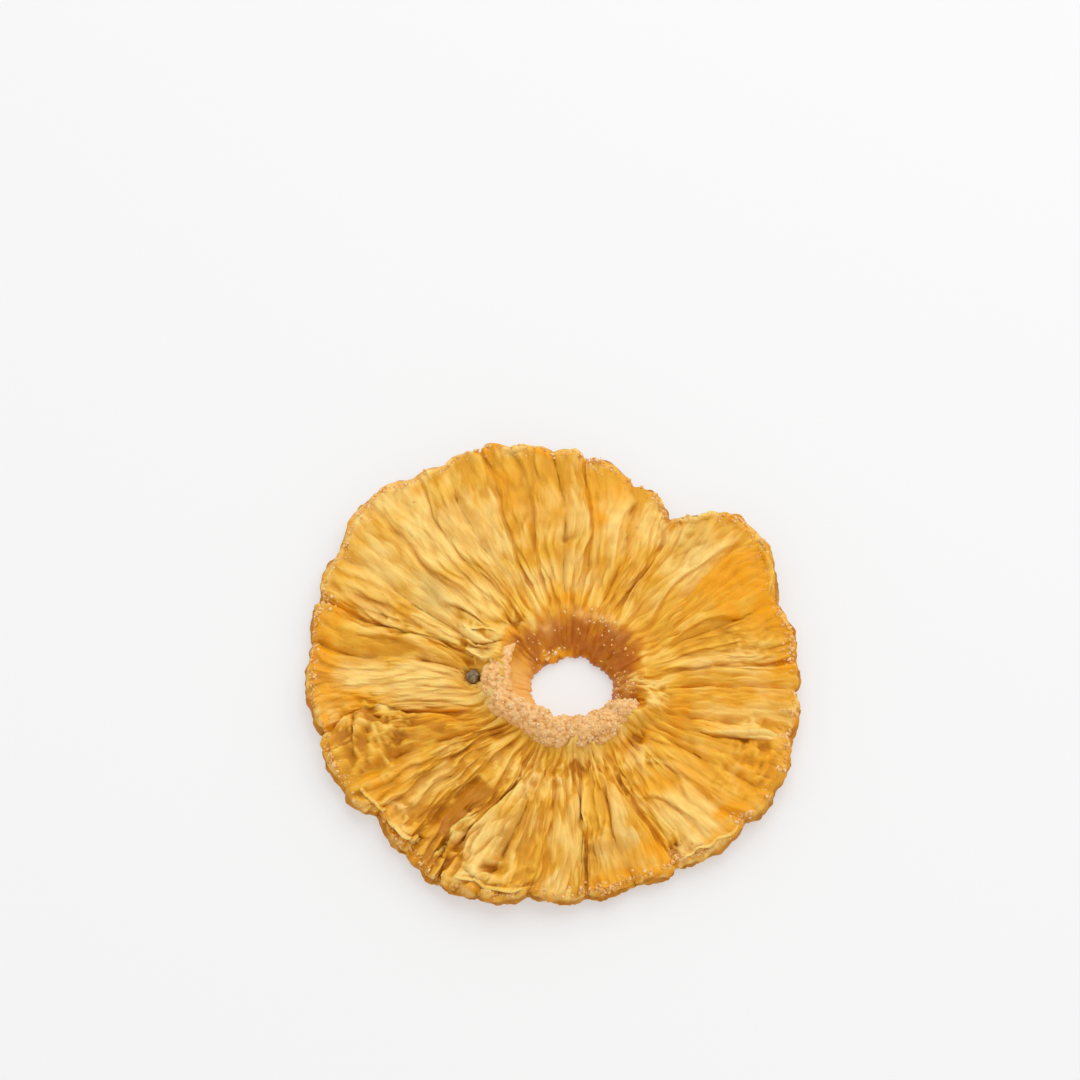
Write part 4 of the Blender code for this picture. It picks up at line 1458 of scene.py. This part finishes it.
def colour_setting(name, description, default):
    """A colour, as linear values."""
    return FloatVectorProperty(
        name=name, description=description, default=default, subtype="COLOR", min=0, max=1
    )


def count_setting(name, description, default, least):
    """A whole number that isn't less than another."""
    return IntProperty(name=name, description=description, default=default, min=least)


def length_setting(name, description, default):
    """A length in metres."""
    return FloatProperty(name=name, description=description, default=default, unit="LENGTH")


class PineappleFlesh(bpy.types.PropertyGroup):
    """Sizes of the flesh's relief and how finely it is meshed."""

    columns: count_setting("Columns", "Points round the ring", 1040, 200)
    top_rows: count_setting("Top rows", "Points across the top", 60, 12)
    under_rows: count_setting("Under rows", "Points across the underside", 14, 6)
    rim_rows: count_setting("Rim rows", "Points on each half of the rim", 8, 2)
    lip_rows: count_setting("Lip rows", "Points round the hole's lip", 7, 3)
    bundle_height: length_setting("Bundles", "Height of the bundles near the collar", 0.0007)
    coarse_height: length_setting("Coarse fibres", "Height of the broad fibres", 0.0005)
    middle_height: length_setting("Middle fibres", "Height of the narrow fibres", 0.00027)
    pucker_height: length_setting("Puckers", "Height of the cross puckers", 0.0004)
    swell_height: length_setting("Swells", "Height of the broad waves of the flesh", 0.0008)
    slit_depth: length_setting("Slits", "Depth of the slits along the creases", 0.00035)
    fold_share: FloatProperty(
        name="Folds", description="Depth of the folds, next to the solid's", default=0.55, min=0, max=1.5
    )


class PineappleCollar(bpy.types.PropertyGroup):
    """The core's collar."""

    columns: count_setting("Columns", "Points along the rope", 540, 60)
    rows: count_setting("Rows", "Points round the rope", 132, 16)
    grain_height: length_setting("Grain height", "How far the grains stand out", 0.00026)


class PineappleGrains(bpy.types.PropertyGroup):
    """Sugar grains, crumbs and the pip."""

    on_collar: count_setting("On the collar", "Grains on the collar", 550, 0)
    on_funnel: count_setting("On the funnel", "Grains round the funnel", 180, 0)
    on_lip: count_setting("On the lip", "Grains on the funnel's lip", 120, 1)
    on_rim: count_setting("On the rim", "Crumbs on the rim's edge and wall", 3600, 0)
    largest: length_setting("Largest grain", "Across the largest", 0.0007)
    pip_length: length_setting("Pip length", "Length of the pip", 0.003)


class PineappleColours(bpy.types.PropertyGroup):
    """Colours of the ring, as linear values."""

    golden: colour_setting("Golden", "Most of the flesh", (0.88, 0.515, 0.057))
    # Straw: real pale patches, and painted light on crests
    straw: colour_setting("Straw", "Pale dry crests", (0.95, 0.68, 0.225))
    # Painted shade between the fibres and where the relief is low
    valley_shade: colour_setting("Valley", "Between the fibres", (0.75, 0.355, 0.025))
    amber: colour_setting("Amber", "Glassy flesh", (0.87, 0.37, 0.004))
    glassy: colour_setting("Glassy", "Greyish, half clear patches", (0.62, 0.40, 0.11))
    # Crease: real stains, and painted shade in deep folds, pits and grooves
    crease: colour_setting("Crease", "Deep folds and stains", (0.52, 0.19, 0.008))
    # The funnel's sticky wall, darkened with painted shade
    toffee_and_shade: colour_setting("Toffee", "The funnel's sticky wall", (0.46, 0.115, 0.002))
    core: colour_setting("Core", "Grains of the core", (0.90, 0.55, 0.23))
    # Painted shade between the core's grains
    core_shade: colour_setting("Core, deep", "Between the grains", (0.72, 0.34, 0.09))
    # Painted highlight on the core's grain tips, and the palest lip grains' own colour
    core_pale: colour_setting("Core, pale", "Tips of the grains", (0.96, 0.71, 0.43))
    wall: colour_setting("Inner wall", "The collar's side towards the hole", (0.85, 0.44, 0.11))
    sugar: colour_setting("Sugar", "Palest grains", (0.96, 0.72, 0.45))
    crumb: colour_setting("Crumb", "Palest crumbs of flesh", (0.94, 0.63, 0.30))
    crumb_deep: colour_setting("Crumb, deep", "Deepest crumbs of flesh", (0.86, 0.44, 0.10))
    pip: colour_setting("Pip", "The pip's dark skin", (0.15, 0.10, 0.055))
    pip_pale: colour_setting("Pip, pale", "The pip's veins", (0.46, 0.37, 0.23))


class PineappleStage(bpy.types.PropertyGroup):
    """Floor, light and camera."""

    floor_size: length_setting("Floor", "Side of the floor", 6.0)
    floor_colour: colour_setting("Floor colour", "The sweep's colour", (0.45, 0.45, 0.45))
    floor_glow: FloatProperty(name="Floor glow", description="Strength of the floor's light", default=0.42)
    room_light: FloatProperty(name="Room light", description="Strength of the white room", default=0.78)
    key_watts: FloatProperty(
        name="Key light", description="Power of the soft key light", default=3.2, unit="POWER"
    )
    lens: FloatProperty(name="Lens", description="Focal length in millimetres", default=100.0)
    elevation: FloatProperty(
        name="Elevation", description="Angle above the floor", default=np.radians(70.0), unit="ROTATION"
    )
    width_in_view: length_setting("Ring width", "Ring's mean diameter, which sets the distance", 0.080)
    middle_height: length_setting("Middle height", "Height that the camera is aimed at", 0.0035)


# Operators

class MakeFlesh(bpy.types.Operator):
    """Make the pleated, fibrous flesh, which stands for the frame's solid"""

    bl_idname = "pineapple.make_flesh"
    bl_label = "Flesh"

    def execute(self, context):
        flesh_ring()
        return {"FINISHED"}


class MakeCollar(bpy.types.Operator):
    """Make the core's granular collar, and the grains on it and round the funnel"""

    bl_idname = "pineapple.make_collar"
    bl_label = "Collar and grains"

    def execute(self, context):
        sugar_grains(core_collar())
        return {"FINISHED"}


class MakeRim(bpy.types.Operator):
    """Make the thin curled flaps and the crumbs along the rim"""

    bl_idname = "pineapple.make_rim"
    bl_label = "Flaps and crumbs"

    def execute(self, context):
        curled_skins()
        rim_crumbs()
        return {"FINISHED"}


class MakePip(bpy.types.Operator):
    """Make the dark pip beside the collar"""

    bl_idname = "pineapple.make_pip"
    bl_label = "Pip"

    def execute(self, context):
        dark_pip()
        return {"FINISHED"}


class MakeStage(bpy.types.Operator):
    """Make the floor, the light and the photograph's camera"""

    bl_idname = "pineapple.make_stage"
    bl_label = "Stage"

    def execute(self, context):
        pale_floor()
        photograph_camera()
        studio_light()
        return {"FINISHED"}


class PineapplePanel(bpy.types.Panel):
    """Buttons for each piece, with the colours below"""

    bl_idname = "VIEW3D_PT_pineapple_ring"
    bl_label = "Dried Pineapple Ring"
    bl_space_type = "VIEW_3D"
    bl_region_type = "UI"
    bl_category = "Pineapple"

    def draw(self, context):
        for operator in OPERATORS:
            self.layout.operator(operator.bl_idname)
        for name in GROUPS:
            settings = getattr(context.scene, name)
            for label in settings.bl_rna.properties.keys():
                if label not in ("rna_type", "name"):
                    self.layout.prop(settings, label)


GROUPS = {
    "pineapple_flesh": PineappleFlesh,
    "pineapple_collar": PineappleCollar,
    "pineapple_grains": PineappleGrains,
    "pineapple_colours": PineappleColours,
    "pineapple_stage": PineappleStage,
}
OPERATORS = (MakeFlesh, MakeCollar, MakeRim, MakePip, MakeStage)


def register():
    for made in (*GROUPS.values(), *OPERATORS, PineapplePanel):
        bpy.utils.register_class(made)
    for name, group in GROUPS.items():
        setattr(bpy.types.Scene, name, PointerProperty(type=group))


def unregister():
    for name in GROUPS:
        delattr(bpy.types.Scene, name)
    for made in reversed((*GROUPS.values(), *OPERATORS, PineapplePanel)):
        bpy.utils.unregister_class(made)


def main():
    """Registers the add-on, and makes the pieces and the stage."""
    register()
    bpy.ops.pineapple.make_flesh()
    bpy.ops.pineapple.make_collar()
    bpy.ops.pineapple.make_rim()
    bpy.ops.pineapple.make_pip()
    bpy.ops.pineapple.make_stage()
    bpy.context.view_layer.update()


if __name__ == "__main__":
    main()
